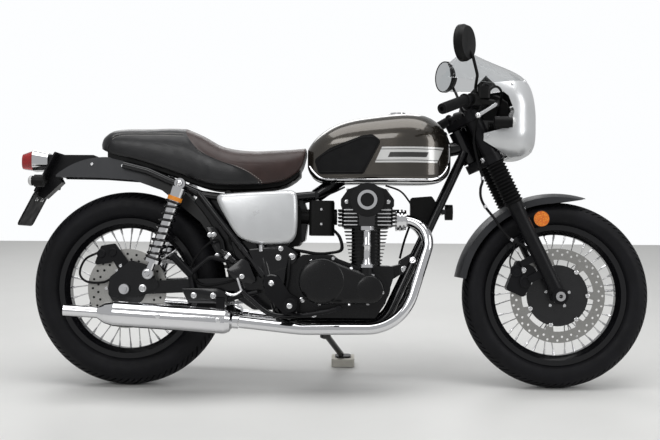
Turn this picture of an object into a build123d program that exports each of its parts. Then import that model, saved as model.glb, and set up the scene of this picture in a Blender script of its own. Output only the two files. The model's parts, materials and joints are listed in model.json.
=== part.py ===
from build123d import *
import os
from math import cos, radians, sin

os.makedirs("parts", exist_ok=True)

# A cafe racer motorcycle, parked on its side stand. Millimetres and degrees.
# It is drawn upright, X forward from the rear axle, Y to its left, Z up from the floor,
# and every finished piece is then leaned onto the stand.

# Stance
WHEELBASE = 1465.0
LEAN = 8.7
RAKE = 26.0
TRAIL = 94.0
FIT = 0.3

# Wheels
FRONT_TYRE_R = 318.5
FRONT_TYRE_W = 100.0
FRONT_RIM_W = 66.0
REAR_TYRE_R = 332.5
REAR_TYRE_W = 130.0
REAR_RIM_W = 84.0
CROWN_SHARE = 0.87
RIM_INNER_R = 207.0
RIM_BED_R = 231.0
RIM_LIP_R = 241.0
RIM_WALL = 5.0
SPOKE_COUNT = 36
SPOKE_R = 2.0
SPOKE_TURN = 28.0
FLANGE_R = 50.0
FLANGE_Y = 32.0
FLANGE_T = 6.0
BARREL_R = 30.0
AXLE_R = 10.0
AXLE_BORE_R = 6.5
DISC_T = 5.0
FRONT_DISC_R = 160.0
FRONT_DISC_Y = 65.0
REAR_DISC_R = 135.0
REAR_DISC_Y = 68.0
DISC_ROOM = 5.0
CARRIER_T = 5.0
CARRIER_R = 104.0
RING_W = 38.0
ARM_W = 34.0
DISC_ARMS = 7
DRILL_ROWS = (152.0, 140.0)
DRILL_COUNT = 28
DRILL_R = 4.0

# Fork and steering
FORK_HALF = 103.0
SLIDER_R = 25.0
STANCHION_R = 20.5
COVER_R = 27.0
CLAMP_R = 22.0
STEM_R = 17.0
HEAD_R = 30.0
SLIDER_TOP = 346.0
LOWER_YOKE = 500.0
YOKE_T = 30.0
TOP_BRIDGE = 660.0
BRIDGE_T = 24.0
BAR_R = 11.0
GRIP_R = 17.0

# Frame, engine and rear end
CRADLE_R = 15.0
RAIL_R = 13.0
RAIL_Y = 95.0
CRADLE_Y = 105.0
CRADLE_Z = 216.0
BACKBONE_R = 24.0
PIVOT_X = 497.0
PIVOT_Z = 357.0
PIVOT_PIN_R = 10.0
PIVOT_HALF = 153.0
ARM_Y = 90.0
ARM_T = 18.0
ARM_H = 44.0
CASE_HALF = 125.0
VALVE_HALF = 112.0
DECK_Z = 415.0
HEAD_Z = 548.0
COVER_Z = 611.0
PORT_Y = 72.0
LUG_HALF = 64.0
TUNNEL_HALF = 35.0
SEAT_BASE = 669.0
CHAIN_Y = 80.0
CHAIN_W = 17.0
REAR_COG_R = 98.5
FRONT_COG_R = 38.0
SHOCK_Y = 150.0
PIPE_R = 19.0
MUFFLER_R = 42.0

# Planes and points worked out from the driving dimensions
rake = radians(RAKE)
FORK_OFFSET = FRONT_TYRE_R * sin(rake) - TRAIL * cos(rake)
ahead = (cos(rake), 0, sin(rake))
up_leg = (-sin(rake), 0, cos(rake))
FORK = Plane(origin=(WHEELBASE, 0, FRONT_TYRE_R), x_dir=ahead, z_dir=up_leg)
LEG_SIDE = Plane(origin=FORK.origin, x_dir=FORK.x_dir, z_dir=(0, -1, 0))
FRONT_AXLE = (WHEELBASE, FRONT_TYRE_R)
REAR_AXLE = (0.0, REAR_TYRE_R)
CROWN_R = (CROWN_SHARE * REAR_TYRE_W / 2) ** 2 / (0.43 * REAR_TYRE_W) + 0.1075 * REAR_TYRE_W
lift = CROWN_R * (1 - cos(radians(LEAN)))
STANDING = Location((-WHEELBASE / 2, 0, lift)) * Location((0, 0, 0), (-LEAN, 0, 0))


def fork_point(x, y, z):
    """Point given along the fork: x ahead of the legs, y to the left, z up from the front axle."""
    return FORK.from_local_coords((x, y, z))


def tube(points, radius, bends):
    """Round bar along straight runs joined by tangent arcs."""
    with BuildPart() as bar:
        with BuildLine() as route:
            FilletPolyline(*points, radius=bends)
        with BuildSketch(Plane(origin=route.line @ 0, z_dir=route.line % 0)):
            Circle(radius)
        sweep()
    return bar.part


def straight(start, end, radius):
    """Round bar from one point to another."""
    run = Vector(end) - Vector(start)
    with BuildPart() as bar:
        with BuildSketch(Plane(origin=start, z_dir=run)):
            Circle(radius)
        extrude(amount=run.length)
    return bar.part


def cross_rod(x, z, radius, y_from, y_to, bore=0.0):
    """Round piece along Y."""
    with BuildPart() as bar:
        with BuildSketch(Plane.XZ.offset(-y_from)):
            with Locations((x, z)):
                Circle(radius)
                if bore:
                    Circle(bore, mode=Mode.SUBTRACT)
        extrude(amount=y_from - y_to)
    return bar.part


def slab(outline, y_from, y_to, corner=0.0, plane=Plane.XZ):
    """Plate parallel to the wheels, its outline in X and Z."""
    with BuildPart() as plate:
        with BuildSketch(plane.offset(-y_from)) as face:
            with BuildLine():
                Polyline(*outline, close=True)
            make_face()
            if corner:
                fillet(face.vertices(), corner)
        extrude(amount=y_from - y_to)
    return plate.part


def stations(table, grow=0.0):
    """Loft through sections across X. Columns: x, half width, low, high, top corner, low corner."""
    with BuildPart() as body:
        for x, half, low, high, top_corner, low_corner in table:
            with BuildSketch(Plane.YZ.offset(x)) as section:
                with Locations((0, (low + high) / 2)):
                    Rectangle(2 * (half + grow), high - low + 2 * grow)
                fillet(section.vertices().group_by(Axis.Y)[-1], top_corner + grow)
                fillet(section.vertices().group_by(Axis.Y)[0], low_corner + grow)
        loft()
    return body.part


finished = []


# Wheels. Columns: name, axle x, tyre radius, tyre width, rim width
WHEELS = (
    ("front", WHEELBASE, FRONT_TYRE_R, FRONT_TYRE_W, FRONT_RIM_W),
    ("rear", 0.0, REAR_TYRE_R, REAR_TYRE_W, REAR_RIM_W),
)
hubs = {}
for name, axle_x, tyre_r, tyre_w, rim_w in WHEELS:
    across = Plane(origin=(axle_x, 0, tyre_r), x_dir=(1, 0, 0), z_dir=(0, 0, 1))
    spin = Axis((axle_x, 0, tyre_r), (0, 1, 0))
    half = tyre_w / 2
    bead = rim_w / 2 - RIM_WALL - FIT
    bed = RIM_BED_R + FIT
    lip = RIM_LIP_R + FIT
    shoulder = tyre_r - 0.215 * tyre_w
    shoulder_y = CROWN_SHARE * half
    with BuildPart() as tyre:
        with BuildSketch(across):
            with BuildLine():
                Polyline((lip, -bead), (bed, -bead), (bed, bead), (lip, bead))
                ThreePointArc((lip, bead), ((lip + shoulder) / 2, half), (shoulder, shoulder_y))
                ThreePointArc((shoulder, shoulder_y), (tyre_r, 0), (shoulder, -shoulder_y))
                ThreePointArc((shoulder, -shoulder_y), ((lip + shoulder) / 2, -half), (lip, -bead))
            make_face()
        revolve(axis=spin)
    tyre.part.label = name + "_tyre"
    finished.append(tyre.part)

    wall = rim_w / 2
    with BuildPart() as rim:
        with BuildSketch(across):
            with BuildLine():
                Polyline((RIM_INNER_R, -wall / 2), (RIM_INNER_R, wall / 2), (RIM_BED_R - 8, wall),
                         (RIM_LIP_R, wall), (RIM_LIP_R, wall - RIM_WALL), (RIM_BED_R, wall - RIM_WALL),
                         (RIM_BED_R, RIM_WALL - wall), (RIM_LIP_R, RIM_WALL - wall), (RIM_LIP_R, -wall),
                         (RIM_BED_R - 8, -wall), close=True)
            make_face()
        revolve(axis=spin)
    rim.part.label = name + "_rim"
    finished.append(rim.part)

# Hubs with their laced spokes and the carriers of disc and sprocket.
# Columns: name, axle x, axle height, hub end on the right, hub end on the left
HUB_ENDS = (
    ("front", WHEELBASE, FRONT_TYRE_R, -70.0, 70.0),
    ("rear", 0.0, REAR_TYRE_R, -78.0, 86.0),
)
SPOKE_REACH = RIM_INNER_R - 1.5
for name, axle_x, axle_z, right_end, left_end in HUB_ENDS:
    across = Plane(origin=(axle_x, 0, axle_z), x_dir=(1, 0, 0), z_dir=(0, 0, 1))
    bore = AXLE_R + FIT
    with BuildPart() as hub:
        with BuildSketch(across):
            with BuildLine():
                Polyline((bore, right_end), (BARREL_R, right_end), (BARREL_R, -FLANGE_Y - FLANGE_T),
                         (FLANGE_R, -FLANGE_Y - FLANGE_T), (FLANGE_R, -FLANGE_Y), (BARREL_R, -FLANGE_Y),
                         (BARREL_R, FLANGE_Y), (FLANGE_R, FLANGE_Y), (FLANGE_R, FLANGE_Y + FLANGE_T),
                         (BARREL_R, FLANGE_Y + FLANGE_T), (BARREL_R, left_end), (bore, left_end), close=True)
            make_face()
        revolve(axis=Axis((axle_x, 0, axle_z), (0, 1, 0)))
        for count in range(SPOKE_COUNT):
            side = 1 if count % 2 else -1
            lead = SPOKE_TURN if count % 4 < 2 else -SPOKE_TURN
            at_rim = radians(360 / SPOKE_COUNT * count)
            at_hub = at_rim + radians(lead)
            root_r = FLANGE_R - 4
            inner_face = 0.0 if lead > 0 else FLANGE_T
            root_y = side * (FLANGE_Y + inner_face)
            root = Vector(axle_x + root_r * cos(at_hub), root_y, axle_z + root_r * sin(at_hub))
            tip = Vector(axle_x + SPOKE_REACH * cos(at_rim), side * 9, axle_z + SPOKE_REACH * sin(at_rim))
            with BuildSketch(Plane(origin=root, z_dir=tip - root)):
                Circle(SPOKE_R)
        extrude(amount=(tip - root).length)
    hubs[name] = hub.part

with BuildPart() as front_hub:
    add(hubs["front"])
    with BuildSketch(Plane.XZ.offset(FRONT_DISC_Y - CARRIER_T)):
        with Locations(FRONT_AXLE):
            Circle(CARRIER_R)
            Circle(AXLE_R + FIT, mode=Mode.SUBTRACT)
    extrude(amount=CARRIER_T)
front_hub.part.label = "front_hub"

with BuildPart() as front_disc:
    # Drilled ring whose arms reach in over the carrier's edge
    with BuildSketch(Plane.XZ.offset(FRONT_DISC_Y)):
        with Locations(FRONT_AXLE):
            Circle(FRONT_DISC_R)
            Circle(FRONT_DISC_R - RING_W, mode=Mode.SUBTRACT)
            with PolarLocations((CARRIER_R + FRONT_DISC_R - RING_W) / 2, DISC_ARMS):
                Trapezoid(ARM_W, FRONT_DISC_R - RING_W - CARRIER_R + 16, 72, rotation=90)
            for row, radius in enumerate(DRILL_ROWS):
                with PolarLocations(radius, DRILL_COUNT, start_angle=row * 180 / DRILL_COUNT):
                    Circle(DRILL_R, mode=Mode.SUBTRACT)
    extrude(amount=DISC_T)
front_disc.part.label = "front_disc"

with BuildPart() as rear_hub:
    add(hubs["rear"])
    with BuildSketch(Plane.XZ.offset(REAR_DISC_Y - 8)):
        with Locations(REAR_AXLE):
            Circle(78)
            Circle(AXLE_R + FIT, mode=Mode.SUBTRACT)
    extrude(amount=8)
    with BuildSketch(Plane.XZ.offset(-FLANGE_Y - FLANGE_T)):
        with Locations(REAR_AXLE):
            Circle(70)
            Circle(AXLE_R + FIT, mode=Mode.SUBTRACT)
    extrude(amount=FLANGE_Y + FLANGE_T - CHAIN_Y + 3)
    with BuildSketch(Plane.XZ.offset(3 - CHAIN_Y)):
        with Locations(REAR_AXLE):
            Circle(REAR_COG_R - 9)
            Circle(AXLE_R + FIT, mode=Mode.SUBTRACT)
            with PolarLocations(78, 10):
                Circle(6, mode=Mode.SUBTRACT)
    extrude(amount=-6)
rear_hub.part.label = "rear_hub"

with BuildPart() as rear_disc:
    with BuildSketch(Plane.XZ.offset(REAR_DISC_Y)):
        with Locations(REAR_AXLE):
            Circle(REAR_DISC_R)
            Circle(66, mode=Mode.SUBTRACT)
    extrude(amount=DISC_T)
rear_disc.part.label = "rear_disc"

finished += [front_hub.part, front_disc.part, rear_hub.part, rear_disc.part]


# Side stand: pivot under the left cradle rail, foot on a pad on the floor
STAND_PIVOT = Vector(672, 118, 172)
STAND_FOOT = Vector(735, 290, 74)
STAND_STOWED = Vector(-0.97, 0.05, -0.2)
STAND_R = 11.0
stand_run = STAND_FOOT - STAND_PIVOT
stand_axis = stand_run.cross(STAND_STOWED).normalized()
floor_up = Vector(0, -sin(radians(LEAN)), cos(radians(LEAN)))
STAND_PIN_R = 8.0
STAND_BOSS = 11.0


# Frame. Right-hand tubes, mirrored to the left. Columns: radius, bend radii, points
FRAME_TUBES = (
    (CRADLE_R, (90, 50, 50, 100), ((1154, -20, 808), (874, -CRADLE_Y, CRADLE_Z), (530, -126, CRADLE_Z),
                                   (494, -137, 345), (474, -128, 420), (425, -RAIL_Y - 1, 640))),
    (RAIL_R, (80, 80, 80), ((640, -RAIL_Y, 655), (420, -RAIL_Y, 634), (250, -RAIL_Y, 655),
                            (70, -RAIL_Y + 2, 734), (-15, -RAIL_Y + 3, 755))),
)
# Straight right-hand tubes. Columns: radius, start, end
FRAME_STAYS = (
    (12.0, (470, -134, 380), (245, -RAIL_Y - 3, 660)),
    (9.0, (189, -RAIL_Y, 688), (189, -SHOCK_Y - 14, 688)),
    (24.0, (PIVOT_X, -ARM_Y - ARM_T - 5.5, PIVOT_Z), (PIVOT_X, -PIVOT_HALF, PIVOT_Z)),
    (11.0, (60, -72.3 - 6, 737), (60, -RAIL_Y, 737)),
    (11.0, (150, -72.3 - 6, 706), (150, -RAIL_Y, 706)),
)
# Straight tubes across the middle. Columns: radius, x, z, half length
FRAME_CROSSES = (
    (RAIL_R, 640, 655, RAIL_Y),
    (RAIL_R, 345, SEAT_BASE - FIT - RAIL_R, RAIL_Y),
    (CRADLE_R - 2, 870, CRADLE_Z, CRADLE_Y),
    (CRADLE_R - 2, 540, CRADLE_Z, 118),
    (12.0, 1040, 789, TUNNEL_HALF - FIT),
    (12.0, 700, 705, TUNNEL_HALF - FIT),
    (PIVOT_PIN_R, PIVOT_X, PIVOT_Z, PIVOT_HALF),
    (9.0, 1078, 601, 50),
)
HEAD_LOW = LOWER_YOKE + YOKE_T + 5
HEAD_HIGH = TOP_BRIDGE - 5
with BuildPart() as frame:
    for radius, bends, points in FRAME_TUBES:
        add(tube(points, radius, bends))
    for radius, start, end in FRAME_STAYS:
        add(straight(start, end, radius))
    add(slab(((1008, 448), (994, 472), (930, 432), (926, 386), (962, 388)),
             -LUG_HALF - FIT, -LUG_HALF - 8, 8))
    mirror(about=Plane.XZ)
    for radius, x, z, half in FRAME_CROSSES:
        add(cross_rod(x, z, radius, -half, half))
    add(tube(((1150, 0, 828), (780, 0, 752), (640, 0, 655)), BACKBONE_R, (60,)))
    with BuildSketch(FORK.offset(HEAD_LOW)):
        with Locations((-FORK_OFFSET, 0)):
            Circle(HEAD_R)
    extrude(amount=HEAD_HIGH - HEAD_LOW)
    with BuildSketch(FORK.offset(HEAD_LOW - 40)):
        with Locations((-FORK_OFFSET, 0)):
            Circle(STEM_R + FIT)
    extrude(amount=HEAD_HIGH - HEAD_LOW + 80, mode=Mode.SUBTRACT)
    # Pin, head and bracket of the side stand. Columns: start along the pin, end, radius
    for low, high, radius in ((-STAND_BOSS - 5, -STAND_BOSS - 1, STAND_PIN_R + 5),
                              (-STAND_BOSS - 5, STAND_BOSS + 13, STAND_PIN_R),
                              (STAND_BOSS + 1, STAND_BOSS + 13, STAND_PIN_R + 9)):
        with BuildSketch(Plane(origin=STAND_PIVOT + stand_axis * low, z_dir=stand_axis)):
            Circle(radius)
        extrude(amount=high - low)
    add(straight(STAND_PIVOT + stand_axis * (STAND_BOSS + 12), (STAND_PIVOT.X, 114, CRADLE_Z), 12))
frame.part.label = "frame"

# Engine
BARREL_X = 814.0
with BuildPart() as crankcase:
    add(slab(((905, DECK_Z), (745, DECK_Z), (700, 452), (600, 452), (548, 405), (548, 290), (600, 240),
              (846, 240), (880, 290), (908, 380)), CASE_HALF, -CASE_HALF, 12))
    add(slab(((890, 360), (945, 394), (945, 424), (890, 410)), LUG_HALF, -LUG_HALF, 8))
    with BuildSketch(Plane.XZ.offset(-CASE_HALF)):
        with Locations((590, 350)):
            Rectangle(120, 130)
    extrude(amount=CASE_HALF - CHAIN_Y + CHAIN_W / 2 + 6, mode=Mode.SUBTRACT)
crankcase.part.label = "crankcase"

FIN_T = 3.2
CAM_X = 817.0
CAM_Z = 637.0
CAM_R = 57.0
BARREL_FINS = 11
HEAD_FINS = 5
with BuildPart() as cylinder_barrel:
    with BuildSketch(Plane.XY.offset(DECK_Z)):
        with Locations((BARREL_X, 0)):
            RectangleRounded(98, 236, 30)
    extrude(amount=HEAD_Z - DECK_Z)
    pitch = (HEAD_Z - DECK_Z) / BARREL_FINS
    for count in range(BARREL_FINS):
        share = count / (BARREL_FINS - 1)
        with BuildSketch(Plane.XY.offset(DECK_Z + 6 + pitch * count)):
            with Locations((BARREL_X, 0)):
                RectangleRounded(106 + 46 * share, 246 + 20 * share, 26)
        extrude(amount=FIN_T)
cylinder_barrel.part.label = "cylinder_barrel"

with BuildPart() as cylinder_head:
    with BuildSketch(Plane.XY.offset(HEAD_Z)):
        with Locations((BARREL_X + 4, 0)):
            RectangleRounded(172, 240, 30)
    extrude(amount=COVER_Z - HEAD_Z)
    pitch = (COVER_Z - HEAD_Z) / HEAD_FINS
    for count in range(HEAD_FINS):
        with BuildSketch(Plane.XY.offset(HEAD_Z + 4 + pitch * count)):
            with Locations((BARREL_X + 4, 0)):
                RectangleRounded(200, 276, 26)
        extrude(amount=FIN_T)
    add(slab(((790, HEAD_Z), (842, HEAD_Z), (842, 620), (790, 620)), -110, -188, 6))
    add(cross_rod(CAM_X, CAM_Z, CAM_R + 1, -VALVE_HALF + 5, -200), mode=Mode.SUBTRACT)
    add(slab(((700, COVER_Z), (930, COVER_Z), (930, 640), (700, 640)), 150, -200), mode=Mode.SUBTRACT)
cylinder_head.part.label = "cylinder_head"

with BuildPart() as valve_cover:
    add(slab(((728, COVER_Z), (728, 640), (752, 674), (795, 690), (839, 690), (882, 674), (908, 640),
              (908, COVER_Z)), VALVE_HALF, -VALVE_HALF, 10))
    add(cross_rod(CAM_X, CAM_Z, CAM_R, -VALVE_HALF + 4, -160))
valve_cover.part.label = "valve_cover"

TOWER_X = 816.0
TOWER_Y = -165.0
with BuildPart() as bevel_drive:
    for low, high, radius in ((411, 422, 25), (422, 535, 11), (535, HEAD_Z, 25)):
        with BuildSketch(Plane.XY.offset(low)):
            with Locations((TOWER_X, TOWER_Y)):
                Circle(radius)
        extrude(amount=high - low)
    add(cross_rod(CAM_X, CAM_Z, 33, -160, -166, 23))
bevel_drive.part.label = "bevel_drive"

with BuildPart() as engine_covers:
    for inset, y_from, y_to in ((0, CASE_HALF, 146), (10, 146, 188)):
        with BuildSketch(Plane.XZ.offset(y_from)):
            with Locations((668, 365)):
                Circle(88 - inset)
            with Locations((826, 338)):
                Circle(58 - inset)
            make_hull()
        extrude(amount=y_to - y_from)
    fillet(engine_covers.faces().sort_by(Axis.Y)[0].edges(), 20)
    with BuildSketch(Plane.XY.offset(370)):
        with Locations((TOWER_X, TOWER_Y)):
            Circle(21)
    extrude(amount=411 - 370)
    add(cross_rod(826, 338, 78, CASE_HALF, 165))
    add(slab(((744, 400), (700, 440), (610, 440), (560, 395), (560, 305), (610, 262), (744, 262)),
             CASE_HALF, 140, 16))
engine_covers.part.label = "engine_covers"

INTAKE_Z = 590.0
AIRBOX_X = 592.0
THROTTLE_LOW = 518.0
THROTTLE_HIGH = 636.0
THROTTLE_LONG = 84.0
with BuildPart() as intake:
    add(slab(((345, 622), (AIRBOX_X, 622), (AIRBOX_X, 480), (345, 480)), 80, -80, 18))
    for side in (-1, 1):
        with BuildSketch(Plane.YZ.offset(AIRBOX_X - 4)):
            with Locations((side * 50, INTAKE_Z - 8)):
                Circle(26)
        extrude(amount=714 - FIT - AIRBOX_X + 4)
        with BuildSketch(Plane.XY.offset(THROTTLE_LOW)):
            with Locations((662, side * 62)):
                RectangleRounded(THROTTLE_LONG, 74, 16)
        extrude(amount=THROTTLE_HIGH - THROTTLE_LOW)
intake.part.label = "intake"

# Right side cover, mirrored to the left
SIDE_COVER = ((303, 664), (590, 664), (596, 570), (576, 484), (436, 484), (352, 522))
COVER_IN = 116.0
COVER_DEPTH = 34.0
COVER_ROUND = 18.0
COVER_WALL = 5.0
with BuildPart() as side_covers:
    with BuildSketch(Plane.XZ.offset(COVER_IN)) as outline:
        with BuildLine():
            Polyline(*SIDE_COVER, close=True)
        make_face()
        fillet(outline.vertices(), COVER_ROUND + 6)
    extrude(amount=COVER_DEPTH)
    fillet(side_covers.faces().sort_by(Axis.Y)[0].edges(), COVER_ROUND)
    with BuildSketch(Plane.XZ.offset(COVER_IN)):
        add(outline.sketch_local)
        offset(amount=-COVER_ROUND / 2, mode=Mode.REPLACE)
    extrude(amount=COVER_DEPTH - 2 * COVER_WALL, mode=Mode.SUBTRACT)
    for x, z in ((400, 600), (540, 600), (500, 510)):
        add(cross_rod(x, z, 6, -80 - FIT, -144))
    # Notches where the frame's tubes run behind the cover
    cradle_r, cradle_bends, cradle_points = FRAME_TUBES[0]
    add(tube(cradle_points, cradle_r + 1, cradle_bends), mode=Mode.SUBTRACT)
    stay_r, stay_low, stay_high = FRAME_STAYS[0]
    add(straight(stay_low, stay_high, stay_r + 1), mode=Mode.SUBTRACT)
    mirror(about=Plane.XZ)
side_covers.part.label = "side_covers"

# Tank stations. Columns: x, half width, low, high, top corner, low corner
TANK = (
    (613, 60, 748, 812, 28, 20),
    (660, 94, 702, 868, 55, 20),
    (760, 120, 699, 914, 78, 22),
    (900, 138, 699, 934, 88, 24),
    (1010, 136, 699, 930, 88, 24),
    (1066, 102, 706, 900, 75, 24),
    (1102, 54, 748, 840, 36, 24),
)
CAP_X = 923.0
CAP_Z = 925.0
CAP_R = 33.0
with BuildPart() as fuel_tank:
    add(stations(TANK))
    add(slab(((560, 640), (560, 690), (780, 790), (1050, 846), (1085, 900), (1160, 900), (1160, 640)),
             TUNNEL_HALF, -TUNNEL_HALF), mode=Mode.SUBTRACT)
    with BuildSketch(Plane.XY.offset(CAP_Z)):
        with Locations((CAP_X, 0)):
            Circle(CAP_R + FIT)
    extrude(amount=60, mode=Mode.SUBTRACT)
fuel_tank.part.label = "fuel_tank"

with BuildPart() as fuel_cap:
    for low, high, radius in ((CAP_Z, CAP_Z + 14, CAP_R), (CAP_Z + 14, CAP_Z + 20, CAP_R - 7)):
        with BuildSketch(Plane.XY.offset(low)):
            with Locations((CAP_X, 0)):
                Circle(radius)
        extrude(amount=high - low)
fuel_cap.part.label = "fuel_cap"

PAD_T = 5.0
PAD_CORNER = 15.0
KNEE_PAD = ((636, 775), (652, 725), (802, 725), (862, 838), (832, 860), (800, 856), (690, 814))
with BuildPart() as knee_pads:
    add(stations(TANK, PAD_T))
    with BuildSketch(Plane.XZ) as outline:
        with BuildLine():
            Polyline(*KNEE_PAD, close=True)
        make_face()
        fillet(outline.vertices(), PAD_CORNER)
    extrude(amount=200, both=True, mode=Mode.INTERSECT)
    add(stations(TANK), mode=Mode.SUBTRACT)
knee_pads.part.label = "knee_pads"

# Seat stations. Columns: x, half width, low, high, top corner, low corner
SEAT = (
    (-98, 66, 806, 846, 18, 12),
    (-55, 98, 792, 876, 34, 14),
    (80, 112, 754, 882, 40, 16),
    (195, 120, 706, 882, 40, 16),
    (250, 128, 684, 862, 40, 16),
    (330, 138, 664, 822, 40, 16),
    (420, 140, 662, 808, 40, 16),
    (520, 118, 664, 811, 40, 16),
    (606, 92, 682, 818, 40, 16),
)
with BuildPart() as seat:
    add(stations(SEAT))
    add(slab(((280, 640), (560, 640), (560, SEAT_BASE), (280, SEAT_BASE)), 200, -200), mode=Mode.SUBTRACT)
seat.part.label = "seat"


def fender_body(half, drop, skirt):
    """Solid under the rear fender's top line, lowered by drop and its sides lowered by skirt."""
    with BuildPart() as body:
        with BuildSketch(Plane.XZ.offset(-half)):
            with BuildLine():
                ThreePointArc((-249, 719 - drop), (-150, 772 - drop), (-40, 778 - drop))
                ThreePointArc((-40, 778 - drop), (165, 686 - drop), (324, 470 - drop))
                Polyline((324, 470 - drop), (310, 470 - skirt - drop), (250, 560 - skirt),
                         (117, 668 - skirt), (18, 703 - skirt), (-100, 711 - skirt),
                         (-249, 713 - skirt - drop), (-249, 719 - drop))
            make_face()
        extrude(amount=2 * half)
    return body.part


FENDER_HALF = 78.0
FENDER_T = 3.0
with BuildPart() as rear_fender:
    add(fender_body(FENDER_HALF, 0, 0))
    add(fender_body(FENDER_HALF - FENDER_T, FENDER_T, 60), mode=Mode.SUBTRACT)
rear_fender.part.label = "rear_fender"

with BuildPart() as tail_bracket:
    add(slab(((-120, 786), (-130, 792), (-288, 792), (-288, 731), (-240, 700), (-225, 720), (-190, 740)),
             30, -30, 3))
    add(fender_body(FENDER_HALF, -FIT, 60), mode=Mode.SUBTRACT)
    add(slab(((-262, 735), (-288, 731), (-318, 668), (-326, 650), (-300, 640), (-240, 696)), 28, -28, 3))
    plate_plane = Plane(origin=(-318, 0, 661), x_dir=(0, 1, 0), z_dir=(-136, 0, 71))
    with BuildSketch(plate_plane):
        with Locations((0, -76)):
            RectangleRounded(180, 154, 10)
        with Locations((-60, -40), (60, -40)):
            Circle(3.2, mode=Mode.SUBTRACT)
    extrude(amount=5)
tail_bracket.part.label = "tail_bracket"

with BuildPart() as tail_lamp:
    with BuildSketch(Plane.YZ.offset(-288)):
        with Locations((0, 768)):
            RectangleRounded(84, 60, 26)
    with BuildSketch(Plane.YZ.offset(-340)):
        with Locations((0, 772)):
            RectangleRounded(104, 76, 32)
    loft()
tail_lamp.part.label = "tail_lamp"

with BuildPart() as tail_lens:
    with BuildSketch(Plane.YZ.offset(-340)):
        with Locations((0, 772)):
            RectangleRounded(98, 70, 30)
    with BuildSketch(Plane.YZ.offset(-378)):
        with Locations((0, 768)):
            RectangleRounded(74, 52, 22)
    loft()
tail_lens.part.label = "tail_lens"

with BuildPart() as rear_indicators:
    for x_from, x_to, radius in ((-281, -312, 21), (-312, -322, 17)):
        with BuildSketch(Plane.YZ.offset(x_from)):
            with Locations((-112, 697)):
                Circle(radius)
        extrude(amount=x_to - x_from)
    add(cross_rod(-290, 697, 7, -28 - FIT, -100))
    mirror(about=Plane.XZ)
rear_indicators.part.label = "rear_indicators"

# Swing arm and its axle
arm_end = -46.0
GUARD_OUT = ARM_Y + ARM_T - 4
with BuildPart() as swingarm:
    add(slab(((arm_end, 310), (arm_end, 310 + ARM_H), (PIVOT_X, PIVOT_Z + ARM_H / 2),
              (PIVOT_X, PIVOT_Z - ARM_H / 2)), -ARM_Y, -ARM_Y - ARM_T))
    add(slab(((-57, 304), (-52, 372), (20, 430), (84, 412), (118, 340), (40, 304)),
             -ARM_Y - ARM_T, -ARM_Y - ARM_T - 8, 14))
    add(straight((84, -ARM_Y - ARM_T, 385), (84, -SHOCK_Y - 14, 385), 8))
    mirror(about=Plane.XZ)
    add(slab(((-40, 448), (60, 446), (430, 418), (430, 414), (60, 442), (-40, 444)),
             CHAIN_Y - CHAIN_W / 2, GUARD_OUT))
    add(slab(((385, 370), (405, 370), (405, 420), (385, 420)), ARM_Y + 4, GUARD_OUT))
    add(cross_rod(PIVOT_X, PIVOT_Z, 26, -ARM_Y - ARM_T - 5, ARM_Y + ARM_T + 5))
    add(cross_rod(405, 352, 20, -ARM_Y - 2, ARM_Y + 2))
    add(cross_rod(PIVOT_X, PIVOT_Z, PIVOT_PIN_R + FIT, -140, 140), mode=Mode.SUBTRACT)
    add(cross_rod(*REAR_AXLE, AXLE_R + FIT, -140, 140), mode=Mode.SUBTRACT)
swingarm.part.label = "swingarm"

AXLE_END = ARM_Y + ARM_T + 8
with BuildPart() as rear_axle:
    add(cross_rod(*REAR_AXLE, AXLE_R, -AXLE_END - 30, AXLE_END + 22))
    add(cross_rod(*REAR_AXLE, 17, -AXLE_END - FIT, -AXLE_END - 22))
    add(cross_rod(*REAR_AXLE, 17, AXLE_END + FIT, AXLE_END + 18))
    add(cross_rod(*REAR_AXLE, 15, 86 + FIT, ARM_Y - FIT))
rear_axle.part.label = "rear_axle"

# Shock absorbers: damper bodies and springs
SPRING_TURNS = 10
SPRING_R = 25.0
WIRE_R = 4.5
SHOCK_LOW = (84.0, 385.0)
SHOCK_TOP = (189.0, 688.0)
shock_run = Vector(SHOCK_TOP[0] - SHOCK_LOW[0], 0, SHOCK_TOP[1] - SHOCK_LOW[1])
SHOCK = Plane(origin=(SHOCK_LOW[0], -SHOCK_Y, SHOCK_LOW[1]), x_dir=(0, 1, 0), z_dir=shock_run)
shock_length = shock_run.length
with BuildPart() as shock_dampers:
    # Columns: start along the damper, end, radius
    for low, high, radius in ((14, 40, 13), (40, 52, 29), (52, shock_length - 60, SPRING_R - WIRE_R - FIT),
                              (shock_length - 62, shock_length - 14, 24)):
        with BuildSketch(SHOCK.offset(low)):
            Circle(radius)
        extrude(amount=high - low)
    for (x, z), pin in ((SHOCK_LOW, 8), (SHOCK_TOP, 9)):
        add(cross_rod(x, z, 18, -SHOCK_Y + 13, -SHOCK_Y - 13))
    for (x, z), pin in ((SHOCK_LOW, 8), (SHOCK_TOP, 9)):
        add(cross_rod(x, z, pin + FIT, -SHOCK_Y + 20, -SHOCK_Y - 20), mode=Mode.SUBTRACT)
    mirror(about=Plane.XZ)
shock_dampers.part.label = "shock_dampers"

spring_low = 52 + WIRE_R
spring_high = shock_length - 62 - WIRE_R
with BuildPart() as shock_springs:
    for count in range(SPRING_TURNS):
        height = spring_low + (spring_high - spring_low) * count / (SPRING_TURNS - 1)
        middle = SHOCK.from_local_coords((0, 0, height))
        with BuildSketch(Plane(origin=middle, x_dir=SHOCK.x_dir, z_dir=-SHOCK.y_dir)):
            with Locations((SPRING_R, 0)):
                Circle(WIRE_R)
        revolve(axis=Axis(middle, SHOCK.z_dir))
    mirror(about=Plane.XZ)
shock_springs.part.label = "shock_springs"

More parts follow.
